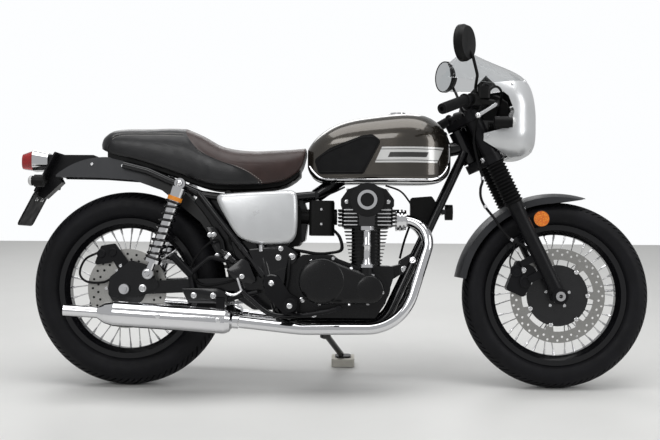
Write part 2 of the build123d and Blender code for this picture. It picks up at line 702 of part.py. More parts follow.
# Exhaust: right-hand pipe, mirrored
PORT_Z = 572.0
HEAD_FRONT = BARREL_X + 4 + 100
with BuildPart() as exhaust_headers:
    add(tube(((HEAD_FRONT + 5, -PORT_Y, PORT_Z), (1048, -96, 566), (935, -150, 207), (600, -176, 205),
              (395, -194, 228)), PIPE_R, (80, 165, 400)))
    for x_from, x_to, radius in ((FIT, 8, 36), (8, 14, 28), (14, 20, 36), (20, 26, 28), (26, 32, 34)):
        with BuildSketch(Plane.YZ.offset(HEAD_FRONT + x_from)):
            with Locations((-PORT_Y - 0.13 * x_from, PORT_Z)):
                Circle(radius)
        extrude(amount=x_to - x_from)
    mirror(about=Plane.XZ)
exhaust_headers.part.label = "exhaust_headers"

MUFFLER = Plane(origin=(395, -194, 228), x_dir=(0, 1, 0), z_dir=(-581, -11, 36))
# Half profile of the muffler. Columns: distance along it, radius
MUFFLER_PROFILE = ((2.2, PIPE_R + 3), (22, PIPE_R + 3), (30, 34), (46, MUFFLER_R), (415, MUFFLER_R),
                   (446, 34), (462, 24), (470, 18.75), (582, 18.75))
with BuildPart() as mufflers:
    with BuildSketch(Plane(origin=MUFFLER.origin, x_dir=MUFFLER.z_dir, z_dir=MUFFLER.x_dir)):
        with BuildLine():
            Polyline((2.2, 0), *MUFFLER_PROFILE, (582, 15.5), (480, 15.5), (480, 0), close=True)
        make_face()
    revolve(axis=Axis(MUFFLER.origin, MUFFLER.z_dir))
    mirror(about=Plane.XZ)
mufflers.part.label = "mufflers"

CALIPER_ROOM = DISC_T / 2 + DISC_ROOM
with BuildPart() as rear_caliper:
    add(slab(((-30, 318), (-30, 400), (-80, 480), (-40, 486), (24, 400), (24, 318)),
             -ARM_Y + FIT, -ARM_Y + 8, 8))
    add(slab(((-112, 412), (-88, 478), (-40, 486), (-52, 420)), -ARM_Y + FIT, -50, 8))
    add(cross_rod(*REAR_AXLE, REAR_DISC_R + DISC_ROOM, -REAR_DISC_Y - DISC_T / 2 + CALIPER_ROOM,
                  -REAR_DISC_Y - DISC_T / 2 - CALIPER_ROOM), mode=Mode.SUBTRACT)
    add(cross_rod(*REAR_AXLE, AXLE_R + FIT, 0, -140), mode=Mode.SUBTRACT)
rear_caliper.part.label = "rear_caliper"

COG_X = 592.0
COG_Z = 350.0
with BuildPart() as chain:
    with BuildSketch(Plane.XZ.offset(CHAIN_W / 2 - CHAIN_Y)):
        with Locations(REAR_AXLE):
            Circle(REAR_COG_R + 7)
        with Locations((COG_X, COG_Z)):
            Circle(FRONT_COG_R + 7)
        make_hull()
    extrude(amount=-CHAIN_W)
    with BuildSketch(Plane.XZ.offset(CHAIN_W / 2 - CHAIN_Y)):
        with Locations(REAR_AXLE):
            Circle(REAR_COG_R - 7)
        with Locations((COG_X, COG_Z)):
            Circle(FRONT_COG_R - 7)
        make_hull()
    extrude(amount=-CHAIN_W, mode=Mode.SUBTRACT)
    with BuildSketch(Plane.XZ.offset(3 - CHAIN_Y)):
        with Locations((COG_X, COG_Z)):
            Circle(FRONT_COG_R - 6)
    extrude(amount=-CASE_HALF + CHAIN_Y - 3 + FIT)
chain.part.label = "chain"

finished += [frame.part, crankcase.part, cylinder_barrel.part, cylinder_head.part, valve_cover.part,
             bevel_drive.part, engine_covers.part, intake.part, side_covers.part,
             fuel_tank.part, fuel_cap.part, knee_pads.part, seat.part, rear_fender.part, tail_bracket.part,
             tail_lamp.part, tail_lens.part, rear_indicators.part, swingarm.part, rear_axle.part,
             shock_dampers.part, shock_springs.part, exhaust_headers.part, mufflers.part, rear_caliper.part,
             chain.part]

# Rider's footrests with the pedals, right side mirrored to the left
PEG = (565.0, 286.0)
with BuildPart() as foot_controls:
    add(slab(((474, 378), (520, 380), (560, 322), (592, 302), (592, 262), (545, 250), (478, 318)),
             -PIVOT_HALF - FIT, -PIVOT_HALF - 8, 10))
    add(cross_rod(*PEG, 12, -PIVOT_HALF - 4, -170))
    add(cross_rod(*PEG, 21, -170, -264))
    add(tube(((556, -PIVOT_HALF - 5, 258), (600, -198, 250), (690, -205, 266), (724, -214, 276)),
             7, (20, 40)))
    add(cross_rod(724, 276, 9, -196, -236))
    mirror(about=Plane.XZ)
foot_controls.part.label = "foot_controls"

with BuildPart() as pillion_footrests:
    add(tube(((399, -139, 420), (290, -142, 442), (222, -144, 385), (236, -144, 322), (330, -146, 296),
              (452, -148, 326)), 8, (30, 30, 30, 40)))
    add(straight((226, -146, 384), (166, -172, 450), 13))
    add(slab(((316, 306), (344, 306), (344, 250), (316, 250)), -142, -176))
    with BuildSketch(MUFFLER):
        Circle(MUFFLER_R + FIT)
    extrude(amount=400, mode=Mode.SUBTRACT)
    mirror(about=Plane.XZ)
pillion_footrests.part.label = "pillion_footrests"

with BuildPart() as front_electrics:
    add(slab(((967, 556), (967, 650), (1040, 656), (1058, 630), (1050, 556)), 30, -30, 8))
    add(slab(((1040, 592), (1069 - FIT, 592), (1069 - FIT, 612), (1040, 612)), 20, -20))
    with BuildSketch(Plane.YZ.offset(1087 + FIT)):
        with Locations((0, 601)):
            Circle(27)
    extrude(amount=26)
front_electrics.part.label = "front_electrics"

# Fork, placed along its legs: x ahead of the legs, y to the left, z up from the front axle
LEGS = ((0, FORK_HALF), (0, -FORK_HALF))
STEM = (-FORK_OFFSET, 0)
with BuildPart() as lower_yoke:
    with BuildSketch(FORK.offset(LOWER_YOKE)):
        with Locations(*LEGS):
            Circle(CLAMP_R + 10)
        with Locations(STEM):
            Circle(STEM_R + 12)
        make_hull()
        with Locations(*LEGS):
            Circle(CLAMP_R, mode=Mode.SUBTRACT)
    extrude(amount=YOKE_T)
    with BuildSketch(FORK.offset(LOWER_YOKE)):
        with Locations(STEM):
            Circle(STEM_R)
    extrude(amount=TOP_BRIDGE + BRIDGE_T + 8 - LOWER_YOKE)
lower_yoke.part.label = "lower_yoke"

# Handlebar: its middle, then the route of one half from it. Columns: x, y outward, z
BAR_X = 10.6
BAR_UP = 717.5
BAR_MID = fork_point(BAR_X, 0, BAR_UP)
BAR_ROUTE = ((0, 85, 0), (48, 165, -6), (30, 235, -2), (-23, 292, -10), (-113, 398, -54))


def bar_point(x, y, z):
    """Point given from the middle of the handlebar."""
    return BAR_MID + Vector(x, y, z)


with BuildPart() as top_bridge:
    with BuildSketch(FORK.offset(TOP_BRIDGE)):
        with Locations(*LEGS):
            Circle(CLAMP_R + 10)
        with Locations(STEM):
            Circle(STEM_R + 13)
        make_hull()
        with Locations(*LEGS):
            Circle(CLAMP_R, mode=Mode.SUBTRACT)
        with Locations(STEM):
            Circle(STEM_R, mode=Mode.SUBTRACT)
    extrude(amount=BRIDGE_T)
    for side in (-1, 1):
        with BuildSketch(FORK.offset(TOP_BRIDGE + BRIDGE_T)):
            with Locations((BAR_X, side * 48)):
                Rectangle(26, 30)
        extrude(amount=BAR_UP - TOP_BRIDGE - BRIDGE_T)
        add(cross_rod(BAR_MID.X, BAR_MID.Z, BAR_R + 8, side * 48 - 15, side * 48 + 15))
    add(cross_rod(BAR_MID.X, BAR_MID.Z, BAR_R, -80, 80), mode=Mode.SUBTRACT)
top_bridge.part.label = "top_bridge"

bar_right = [bar_point(x, -y, z) for x, y, z in BAR_ROUTE]
bar_left = [bar_point(x, y, z) for x, y, z in BAR_ROUTE]
BAR_BORE_R = 8.0
BAR_BORE = 40.0
with BuildPart() as handlebar:
    add(tube(bar_left[::-1] + bar_right, BAR_R, 30))
    for end, before in ((bar_right[-1], bar_right[-2]), (bar_left[-1], bar_left[-2])):
        with BuildSketch(Plane(origin=end, z_dir=before - end)):
            Circle(BAR_BORE_R)
        extrude(amount=BAR_BORE, mode=Mode.SUBTRACT)
handlebar.part.label = "handlebar"

grip_run = (bar_right[-1] - bar_right[-2]).normalized()
with BuildPart() as grips:
    with BuildSketch(Plane(origin=bar_right[-2] + grip_run * 14, z_dir=grip_run)):
        Circle(GRIP_R)
        Circle(BAR_R, mode=Mode.SUBTRACT)
    extrude(amount=(bar_right[-1] - bar_right[-2]).length - 14)
    mirror(about=Plane.XZ)
grips.part.label = "grips"

perch_run = (bar_right[-2] - bar_right[-3]).normalized()
perch = bar_right[-3] + perch_run * 36
LEVER_PIVOT = bar_point(72, -266, -20)
MIRROR_POST = 24.0
with BuildPart() as hand_controls:
    with BuildSketch(Plane(origin=bar_right[-3] + perch_run * 16, z_dir=perch_run)):
        Circle(20)
    extrude(amount=46)
    add(straight(perch, LEVER_PIVOT, 10))
    with BuildSketch(Plane(origin=LEVER_PIVOT - Vector(0, 0, 9), z_dir=(0, 0, 1))):
        Circle(10)
    extrude(amount=18)
    with BuildSketch(Plane(origin=perch, z_dir=(0, 0, 1))):
        Circle(9)
    extrude(amount=MIRROR_POST)
    mirror(about=Plane.XZ)
    with BuildSketch(Plane(origin=perch + Vector(26, 4, 2), z_dir=(0, 0, 1))):
        RectangleRounded(38, 46, 8)
    extrude(amount=38)
    for points in (bar_right, bar_left):
        add(tube(points[:], BAR_R, 30), mode=Mode.SUBTRACT)
hand_controls.part.label = "hand_controls"

lever_run = (bar_point(64, -304, -30) - LEVER_PIVOT).normalized()
with BuildPart() as hand_levers:
    add(tube((LEVER_PIVOT + lever_run * 12, bar_point(64, -304, -30), bar_point(2, -386, -72)), 6, (40,)))
    mirror(about=Plane.XZ)
hand_levers.part.label = "hand_levers"

MIRROR_MID = bar_point(-40, -382, 158)
MIRROR_R = 59.0
with BuildPart() as mirrors:
    post_top = perch + Vector(0, 0, MIRROR_POST)
    add(tube((post_top, post_top + Vector(0, 0, 16), bar_point(4, -340, 62), bar_point(-14, -374, 116),
              MIRROR_MID), 5, (10, 30, 30)))
    with BuildSketch(Plane(origin=MIRROR_MID, z_dir=(-0.87, 0.5, 0))):
        Circle(MIRROR_R)
    extrude(amount=12)
    with BuildSketch(Plane(origin=MIRROR_MID, z_dir=(-0.87, 0.5, 0))):
        Circle(MIRROR_R)
    extrude(amount=-14, taper=25)
    mirror(about=Plane.XZ)
mirrors.part.label = "mirrors"

with BuildPart() as fork_uppers:
    # Columns: start along the leg, end, radius
    for low, high, radius in ((SLIDER_TOP - 40, LOWER_YOKE, STANCHION_R),
                              (LOWER_YOKE, LOWER_YOKE + YOKE_T, CLAMP_R),
                              (LOWER_YOKE + YOKE_T, TOP_BRIDGE, COVER_R),
                              (TOP_BRIDGE, TOP_BRIDGE + BRIDGE_T + 6, CLAMP_R),
                              (TOP_BRIDGE + BRIDGE_T + 6, TOP_BRIDGE + BRIDGE_T + 14, CLAMP_R - 5)):
        with BuildSketch(FORK.offset(low)):
            with Locations(*LEGS):
                Circle(radius)
        extrude(amount=high - low)
fork_uppers.part.label = "fork_uppers"

GAITER_RIBS = 13
GAITER_R = 34.0
GAITER_ROOT = 27.0
gaiter_low = SLIDER_TOP + FIT
rib = (LOWER_YOKE - FIT - gaiter_low) / GAITER_RIBS
gaiter_side = Plane(origin=fork_point(0, -FORK_HALF, gaiter_low), x_dir=FORK.x_dir, z_dir=(0, -1, 0))
with BuildPart() as fork_gaiters:
    with BuildSketch(gaiter_side):
        with BuildLine():
            folds = [(STANCHION_R + FIT, 0)]
            for count in range(GAITER_RIBS):
                folds += [(GAITER_ROOT, rib * count), (GAITER_R, rib * (count + 0.5))]
            folds += [(GAITER_ROOT, rib * GAITER_RIBS), (STANCHION_R + FIT, rib * GAITER_RIBS)]
            Polyline(*folds, close=True)
        make_face()
    revolve(axis=Axis(gaiter_side.origin, FORK.z_dir))
    mirror(about=Plane.XZ)
fork_gaiters.part.label = "fork_gaiters"

REFLECTOR = fork_point(62, 0, 260)
REFLECTOR_Y = 84.0
CALIPER_Y = 98.0
with BuildPart() as fork_sliders:
    # Columns: start along the leg, end, radius
    for low, high, radius in ((-6, 326, SLIDER_R), (326, SLIDER_TOP, SLIDER_R + 3)):
        with BuildSketch(FORK.offset(low)):
            with Locations((0, -FORK_HALF)):
                Circle(radius)
        extrude(amount=high - low)
    add(cross_rod(*FRONT_AXLE, 27, -FORK_HALF + SLIDER_R, -FORK_HALF - SLIDER_R - 2))
    add(slab(((0, 250), (66, 246), (66, 274), (0, 270)), -REFLECTOR_Y + 4, -REFLECTOR_Y, 0, LEG_SIDE))
    mirror(about=Plane.XZ)
    for low, high in ((78, 104), (138, 162)):
        add(slab(((-8, low), (-70, low + 4), (-70, high), (-8, high + 4)),
                 -CALIPER_Y - FIT, -CALIPER_Y - 11, 4, LEG_SIDE))
    with BuildSketch(FORK.offset(SLIDER_TOP - 50)):
        with Locations(*LEGS):
            Circle(STANCHION_R + FIT)
    extrude(amount=60, mode=Mode.SUBTRACT)
    add(cross_rod(*FRONT_AXLE, AXLE_R, -140, 140), mode=Mode.SUBTRACT)
fork_sliders.part.label = "fork_sliders"

with BuildPart() as front_axle:
    add(cross_rod(*FRONT_AXLE, AXLE_R, -FORK_HALF - SLIDER_R - 14, FORK_HALF + SLIDER_R + 14))
    for side in (-1, 1):
        add(cross_rod(*FRONT_AXLE, 16, side * (FORK_HALF + SLIDER_R + 2 + FIT),
                      side * (FORK_HALF + SLIDER_R + 11)))
        add(cross_rod(*FRONT_AXLE, 15, side * (70 + FIT), side * (FORK_HALF - SLIDER_R - FIT)))
    add(cross_rod(*FRONT_AXLE, AXLE_BORE_R, -200, 200), mode=Mode.SUBTRACT)
front_axle.part.label = "front_axle"

with BuildPart() as reflectors:
    add(cross_rod(REFLECTOR.X, REFLECTOR.Z, 27, -REFLECTOR_Y - FIT, -REFLECTOR_Y - 10))
    mirror(about=Plane.XZ)
reflectors.part.label = "reflectors"

with BuildPart() as front_caliper:
    add(slab(((-72, 170), (-34, 128), (-34, 104), (-108, 46), (-152, 98)), -42, -CALIPER_Y, 10, LEG_SIDE))
    add(cross_rod(*FRONT_AXLE, FRONT_DISC_R + DISC_ROOM, -FRONT_DISC_Y + CARRIER_T + DISC_ROOM,
                  -FRONT_DISC_Y - DISC_T - DISC_ROOM), mode=Mode.SUBTRACT)
    with BuildSketch(FORK.offset(0)):
        with Locations((0, -FORK_HALF)):
            Circle(SLIDER_R + 2)
    extrude(amount=300, mode=Mode.SUBTRACT)
front_caliper.part.label = "front_caliper"

FRONT_FENDER_R = FRONT_TYRE_R + 31.5
FRONT_FENDER_HALF = FRONT_TYRE_W / 2 + 10
FRONT_FENDER_T = 2.5
FENDER_START = 73.0
FENDER_ARC = 97.0
# Below this line the sides are cut away, so that they run out at the fender's tip
FENDER_TIP = ((1440, 590), (1440, 631), (1575, 650), (1620, 650), (1620, 590))
start = radians(FENDER_START)
fender_out = (cos(start), 0, sin(start))
fender_plane = Plane(origin=FORK.origin, x_dir=fender_out, z_dir=(-sin(start), 0, cos(start)))
with BuildPart() as front_fender:
    with BuildSketch(fender_plane):
        with BuildLine():
            skirt = FRONT_FENDER_R - 36
            edge = FRONT_FENDER_R - 14
            inner = FRONT_FENDER_HALF - FRONT_FENDER_T
            Polyline((edge, FRONT_FENDER_HALF), (skirt, FRONT_FENDER_HALF), (skirt, inner),
                     (edge - 2, inner))
            ThreePointArc((edge - 2, inner), (FRONT_FENDER_R - FRONT_FENDER_T, 0), (edge - 2, -inner))
            Polyline((edge - 2, -inner), (skirt, -inner), (skirt, -FRONT_FENDER_HALF),
                     (edge, -FRONT_FENDER_HALF))
            ThreePointArc((edge, -FRONT_FENDER_HALF), (FRONT_FENDER_R, 0), (edge, FRONT_FENDER_HALF))
        make_face()
    revolve(axis=Axis((WHEELBASE, 0, FRONT_TYRE_R), (0, -1, 0)), revolution_arc=FENDER_ARC)
    add(slab(FENDER_TIP, FRONT_FENDER_HALF + 1, -FRONT_FENDER_HALF - 1), mode=Mode.SUBTRACT)
    for side in (-1, 1):
        add(slab(((-12, skirt + 2), (12, skirt + 2), (12, skirt + 10), (-12, skirt + 10)),
                 side * (FRONT_FENDER_HALF - 1), side * (FORK_HALF - SLIDER_R - FIT), 0, LEG_SIDE))
front_fender.part.label = "front_fender"

# Headlamp, cowl and screen
LAMP_Z = 895.0
LAMP_R = 86.0
LAMP_FRONT = 1384.0
LENS_RISE = 7.0


def cover_tubes(clearance):
    """Both fork covers, grown by a clearance."""
    with BuildPart() as both:
        with BuildSketch(FORK.offset(LOWER_YOKE)):
            with Locations(*LEGS):
                Circle(COVER_R + clearance)
        extrude(amount=TOP_BRIDGE - LOWER_YOKE)
    return both.part


with BuildPart() as headlamp:
    with BuildSketch(Plane.XZ):
        with BuildLine():
            Polyline((1258, LAMP_Z), (1262, LAMP_Z + 40), (1300, LAMP_Z + 72), (1340, LAMP_Z + LAMP_R - 3),
                     (LAMP_FRONT, LAMP_Z + LAMP_R), (LAMP_FRONT, LAMP_Z + LAMP_R - 7),
                     (LAMP_FRONT - 8, LAMP_Z + LAMP_R - 8), (LAMP_FRONT - 8, LAMP_Z), close=True)
        make_face()
    revolve(axis=Axis((0, 0, LAMP_Z), (1, 0, 0)))
    for side in (-1, 1):
        add(slab(((1190, LAMP_Z - 17), (1190, LAMP_Z + 17), (1312, LAMP_Z + 12), (1312, LAMP_Z - 12)),
                 side * 64, side * 97))
    add(cover_tubes(FIT), mode=Mode.SUBTRACT)
headlamp.part.label = "headlamp"

lens_r = LAMP_R - 8 - FIT
dome_r = (lens_r ** 2 + LENS_RISE ** 2) / (2 * LENS_RISE)
with BuildPart() as headlamp_lens:
    with BuildSketch(Plane.YZ.offset(LAMP_FRONT - 8 + FIT)):
        with Locations((0, LAMP_Z)):
            Circle(lens_r)
    extrude(amount=12)
    with Locations((LAMP_FRONT + 4 - dome_r, 0, LAMP_Z)):
        Sphere(dome_r, mode=Mode.INTERSECT)
headlamp_lens.part.label = "headlamp_lens"

# Cowl and screen share one outer form. Columns: x, half width, low, high, top corner, low corner
BUBBLE = (
    (1050, 124, 850, 1128, 90, 60),
    (1200, 152, 800, 1132, 110, 70),
    (1290, 160, 786, 1092, 110, 80),
    (1345, 146, 786, 1064, 105, 85),
    (1374, 116, 802, 1030, 90, 80),
    (1386, 94, 822, 975, 60, 60),
)
COWL_T = 4.0
COWL_SIDE = ((1205, 838), (1205, 862), (1290, 884), (1306, 936), (1286, 988), (1246, 1020), (1238, 1032),
             (1400, 1052), (1400, 775), (1318, 775))
SCREEN_SIDE = ((1238, 1032 + FIT), (1400, 1052 + FIT), (1400, 1200), (1160, 1200), (1130, 1134), (1088, 1099),
               (1062, 1050))


def bubble_skin(outline):
    """Wall of the shared form inside a side outline."""
    with BuildPart() as skin:
        add(stations(BUBBLE))
        add(stations([(x - COWL_T, *rest) for x, *rest in BUBBLE], -COWL_T), mode=Mode.SUBTRACT)
        with BuildSketch(Plane.XZ):
            with BuildLine():
                Polyline(*outline, close=True)
            make_face()
        extrude(amount=300, both=True, mode=Mode.INTERSECT)
    return skin.part


with BuildPart() as cowl:
    add(bubble_skin(COWL_SIDE))
    with BuildSketch(Plane.YZ.offset(1320)):
        with Locations((0, LAMP_Z)):
            Circle(LAMP_R + FIT)
    extrude(amount=100, mode=Mode.SUBTRACT)
    for side in (-1, 1):
        add(cross_rod(1216, 852, 8, side * 115, side * 150))
    add(cover_tubes(FIT), mode=Mode.SUBTRACT)
cowl.part.label = "cowl"

with BuildPart() as windscreen:
    add(bubble_skin(SCREEN_SIDE))
windscreen.part.label = "windscreen"

GAUGE_FACE = Vector(-0.75, 0, 0.66)
with BuildPart() as instruments:
    bridge_top = TOP_BRIDGE + BRIDGE_T
    add(slab(((22, bridge_top), (32, bridge_top), (94, 712), (86, 728), (25, 700)), 20, -20, 0, LEG_SIDE))
    mid = fork_point(88, 0, 720)
    add(cross_rod(mid.X, mid.Z, 7, -60, 60))
    for side in (-1, 1):
        gauge = Plane(origin=(1197, side * 50, 1034), x_dir=(0, 1, 0), z_dir=GAUGE_FACE)
        with BuildSketch(gauge):
            Circle(42)
        extrude(amount=-42)
        with BuildSketch(gauge):
            Circle(44)
            Circle(39, mode=Mode.SUBTRACT)
        extrude(amount=5)
instruments.part.label = "instruments"

with BuildPart() as front_indicators:
    for x_from, x_to, radius in ((1236, 1284, 20), (1284, 1296, 17)):
        with BuildSketch(Plane.YZ.offset(x_from)):
            with Locations((-190, LAMP_Z)):
                Circle(radius)
        extrude(amount=x_to - x_from)
    add(cross_rod(1256, LAMP_Z, 7, -97 - FIT, -175))
    mirror(about=Plane.XZ)
front_indicators.part.label = "front_indicators"

# The stand's leg and the pad it rests on
PAD_H = 28.0
with BuildPart() as side_stand:
    with BuildSketch(Plane(origin=STAND_PIVOT - stand_axis * STAND_BOSS, z_dir=stand_axis)):
        Circle(STAND_PIN_R + 11)
        Circle(STAND_PIN_R + FIT, mode=Mode.SUBTRACT)
    extrude(amount=2 * STAND_BOSS)
    with BuildSketch(Plane(origin=STAND_PIVOT + stand_run.normalized() * 14, z_dir=stand_run)):
        Circle(STAND_R)
    extrude(amount=stand_run.length - 14 - 22)
    foot_plane = Plane(origin=STAND_FOOT, x_dir=(1, 0, 0), z_dir=floor_up)
    with BuildSketch(foot_plane):
        RectangleRounded(58, 44, 16)
    extrude(amount=7)
side_stand.part.label = "side_stand"

with BuildPart() as stand_pad:
    with BuildSketch(foot_plane):
        RectangleRounded(84, 84, 10)
    extrude(amount=-PAD_H)
stand_pad.part.label = "stand_pad"

finished += [foot_controls.part, pillion_footrests.part, front_electrics.part, lower_yoke.part,
             top_bridge.part, handlebar.part, grips.part, hand_controls.part, hand_levers.part,
             mirrors.part, fork_uppers.part, fork_gaiters.part, fork_sliders.part, front_axle.part,
             reflectors.part, front_caliper.part, front_fender.part, headlamp.part, headlamp_lens.part,
             cowl.part, windscreen.part, instruments.part, front_indicators.part, side_stand.part,
             stand_pad.part]

for piece in finished:
    export_step(piece.moved(STANDING), "parts/" + piece.label + ".step")
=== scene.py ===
import json
from math import asin, atan2, cos, pi, radians, sin, sqrt

import bmesh
import bpy
from mathutils import Matrix, Vector, noise
from mathutils.bvhtree import BVHTree


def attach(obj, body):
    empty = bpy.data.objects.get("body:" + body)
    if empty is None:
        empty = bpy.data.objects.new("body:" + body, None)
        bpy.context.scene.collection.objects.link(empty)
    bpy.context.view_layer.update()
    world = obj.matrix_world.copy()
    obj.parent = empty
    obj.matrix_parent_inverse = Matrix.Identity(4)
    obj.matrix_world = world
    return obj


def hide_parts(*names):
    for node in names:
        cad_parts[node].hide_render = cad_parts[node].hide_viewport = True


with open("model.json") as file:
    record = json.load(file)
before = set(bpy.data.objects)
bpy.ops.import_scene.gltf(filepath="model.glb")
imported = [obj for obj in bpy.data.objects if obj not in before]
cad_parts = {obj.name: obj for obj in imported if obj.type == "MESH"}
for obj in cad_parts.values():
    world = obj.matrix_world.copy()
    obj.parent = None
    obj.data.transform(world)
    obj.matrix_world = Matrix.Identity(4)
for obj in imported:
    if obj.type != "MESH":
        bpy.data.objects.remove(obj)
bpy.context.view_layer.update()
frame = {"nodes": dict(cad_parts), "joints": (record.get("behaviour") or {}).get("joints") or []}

# The machine's own upright frame: X forward from the rear axle, Y to its left, Z up from the ground.
# Places and sizes below are in millimetres in that frame, and at() turns them into the row's metres.
MM = 0.001
REAR_TYRE_R = 332.5
FRONT_TYRE_R = 318.5
JOINTS = {joint["name"]: joint for joint in frame["joints"]}
REAR_AXLE = Vector(JOINTS["rear_wheel_spin"]["pos_m"])
LEFT = Vector(JOINTS["rear_wheel_spin"]["axis"]).normalized()
AHEAD = Vector((1, 0, 0))
UP = AHEAD.cross(LEFT)
GROUND = REAR_AXLE - UP * REAR_TYRE_R * MM
UPRIGHT = Matrix((AHEAD, LEFT, UP)).transposed().to_4x4()
UPRIGHT.translation = GROUND
WHEELBASE = (Vector(JOINTS["front_wheel_spin"]["pos_m"]) - REAR_AXLE).length / MM
# Axle of each wheel. Columns: x, z
WHEELS = {"front": (WHEELBASE, FRONT_TYRE_R), "rear": (0.0, REAR_TYRE_R)}
# Right and left side, and the way to the left
BOTH = (-1, 1)
SIDEWAYS = Vector((0, 1, 0))


def at(x, y, z):
    """Row point of a place given in millimetres on the upright machine."""
    return UPRIGHT @ (Vector((x, y, z)) * MM)


def sided(place, side):
    """Place on one side of the machine, given for its left."""
    x, y, z = place
    return Vector((x, side * y, z))


# Finishes by name
FINISHES = {}


class Finish:
    """A procedural material: one principled shader and the nodes that vary it over the surface."""

    def __init__(self, name, colour, rough, metal=0.0, **sockets):
        self.material = bpy.data.materials.new(name)
        self.material.use_nodes = True
        self.tree = self.material.node_tree
        self.shader = self.tree.nodes["Principled BSDF"]
        self.shader.inputs["Base Color"].default_value = (*colour, 1)
        self.shader.inputs["Roughness"].default_value = rough
        self.shader.inputs["Metallic"].default_value = metal
        for socket, value in sockets.items():
            self.shader.inputs[socket.replace("_", " ")].default_value = value
        self.colour_value = colour
        self.rough_value = rough
        FINISHES[name] = self

    def node(self, kind, inputs=(), **settings):
        """New node with its settings, and its inputs given as (name or index, value or socket)."""
        made = self.tree.nodes.new(kind)
        for name, value in settings.items():
            setattr(made, name, value)
        for name, value in inputs:
            if isinstance(value, bpy.types.NodeSocket):
                self.tree.links.new(value, made.inputs[name])
            else:
                made.inputs[name].default_value = value
        return made

    def point(self):
        """Position on the upright machine, in metres."""
        place = self.node("ShaderNodeTexCoord")
        turned = self.node("ShaderNodeMapping", [("Vector", place.outputs["Object"])], vector_type="TEXTURE")
        turned.inputs["Location"].default_value = GROUND
        turned.inputs["Rotation"].default_value = UPRIGHT.to_euler()
        return turned.outputs["Vector"]

    def axes(self):
        """The three coordinates of point()."""
        split = self.node("ShaderNodeSeparateXYZ", [("Vector", self.point())])
        return split.outputs["X"], split.outputs["Y"], split.outputs["Z"]

    def noise(self, scale, detail=4.0, roughness=0.55, stretch=(1, 1, 1)):
        """Noise of so many cells a metre."""
        place = self.node("ShaderNodeMapping", [("Vector", self.point()), ("Scale", stretch)])
        made = self.node("ShaderNodeTexNoise", [("Vector", place.outputs["Vector"]), ("Scale", scale),
                                                ("Detail", detail), ("Roughness", roughness)])
        return made.outputs["Fac"]

    def cells(self, scale, feature="F1"):
        """Cell pattern, such as leather grain."""
        made = self.node("ShaderNodeTexVoronoi", [("Vector", self.point()), ("Scale", scale)],
                         feature=feature)
        return made.outputs["Distance"]

    def math(self, operation, first, second=0.0):
        made = self.node("ShaderNodeMath", [(0, first), (1, second)], operation=operation)
        return made.outputs["Value"]

    def spread(self, value, low, high, start=0.25, end=0.75):
        """Value mapped from start..end to low..high."""
        made = self.node("ShaderNodeMapRange", [("Value", value), ("From Min", start), ("From Max", end),
                                                ("To Min", low), ("To Max", high)])
        return made.outputs["Result"]

    def between(self, value, low, high, soft):
        """1 where value lies from low to high, with soft edges, all in millimetres."""
        rise = self.spread(value, 0.0, 1.0, (low - soft) * MM, (low + soft) * MM)
        fall = self.spread(value, 1.0, 0.0, (high - soft) * MM, (high + soft) * MM)
        return self.math("MULTIPLY", rise, fall)

    def mix(self, share, first, second):
        """Colour from first to second."""
        first, second = ((*value, 1) if isinstance(value, tuple) else value for value in (first, second))
        made = self.node("ShaderNodeMix", [(0, share), (6, first), (7, second)], data_type="RGBA")
        return made.outputs[2]

    def drift(self, scale, first, second):
        """Colour that wanders between two, in so many cells a metre."""
        return self.mix(self.spread(self.noise(scale), 0, 1), first, second)

    def past(self, value, limit_mm, soft_mm=0.2):
        """0 up to a limit and 1 beyond it."""
        return self.spread(value, 0.0, 1.0, limit_mm * MM, (limit_mm + soft_mm) * MM)

    def apart(self, value, middle_mm):
        """Distance of a coordinate from a place."""
        return self.math("ABSOLUTE", self.math("SUBTRACT", value, middle_mm * MM))

    def reach(self, wheel):
        """Distance from a wheel's axle."""
        x, _, z = self.axes()
        axle_x, axle_z = WHEELS[wheel]
        dx, dz = self.apart(x, axle_x), self.apart(z, axle_z)
        squares = self.math("ADD", self.math("MULTIPLY", dx, dx), self.math("MULTIPLY", dz, dz))
        return self.math("SQRT", squares)

    def feed(self, socket, value):
        """Link into the shader."""
        self.tree.links.new(value, self.shader.inputs[socket])

    def bare(self, share, dark, bright):
        """Dark paint that gives way to bright metal where share is 1."""
        self.feed("Base Color", self.mix(share, dark, bright))
        self.feed("Metallic", share)

    def mottle(self, scale, depth, other=None):
        """Colour that drifts over the surface."""
        darker = tuple(c * (1 - depth) for c in self.colour_value)
        lighter = other or tuple(min(1.0, c * (1 + depth)) for c in self.colour_value)
        self.feed("Base Color", self.drift(scale, darker, lighter))

    def gloss(self, scale, low, high, detail=4.0):
        """Roughness that drifts between two over the surface, as handling and wiping leave it."""
        self.feed("Roughness", self.spread(self.noise(scale, detail), low, high))

    def wear(self, scale, spread):
        """Roughness that drifts about its own value."""
        self.gloss(scale, self.rough_value - spread, self.rough_value + spread, 6.0)

    def relief(self, height, strength, depth_mm):
        """Bump from a height."""
        made = self.node("ShaderNodeBump", [("Strength", strength), ("Distance", depth_mm * MM),
                                            ("Height", height)])
        self.feed("Normal", made.outputs["Normal"])

    def grain(self, scale, strength, depth_mm, detail=3.0, roughness=0.55):
        """Bump from noise."""
        self.relief(self.noise(scale, detail, roughness), strength, depth_mm)


def plain_finish(name, colour, rough, metal, grain, grain_mm, drift, coat, shine):
    """Common finish: drifting colour, uneven gloss and a fine grain."""
    made = Finish(name, colour, rough, metal, Coat_Weight=coat, Coat_Roughness=0.08, Specular_IOR_Level=shine)
    made.mottle(9.0, drift)
    made.wear(26.0, rough * 0.22)
    made.grain(grain, 0.35, grain_mm)


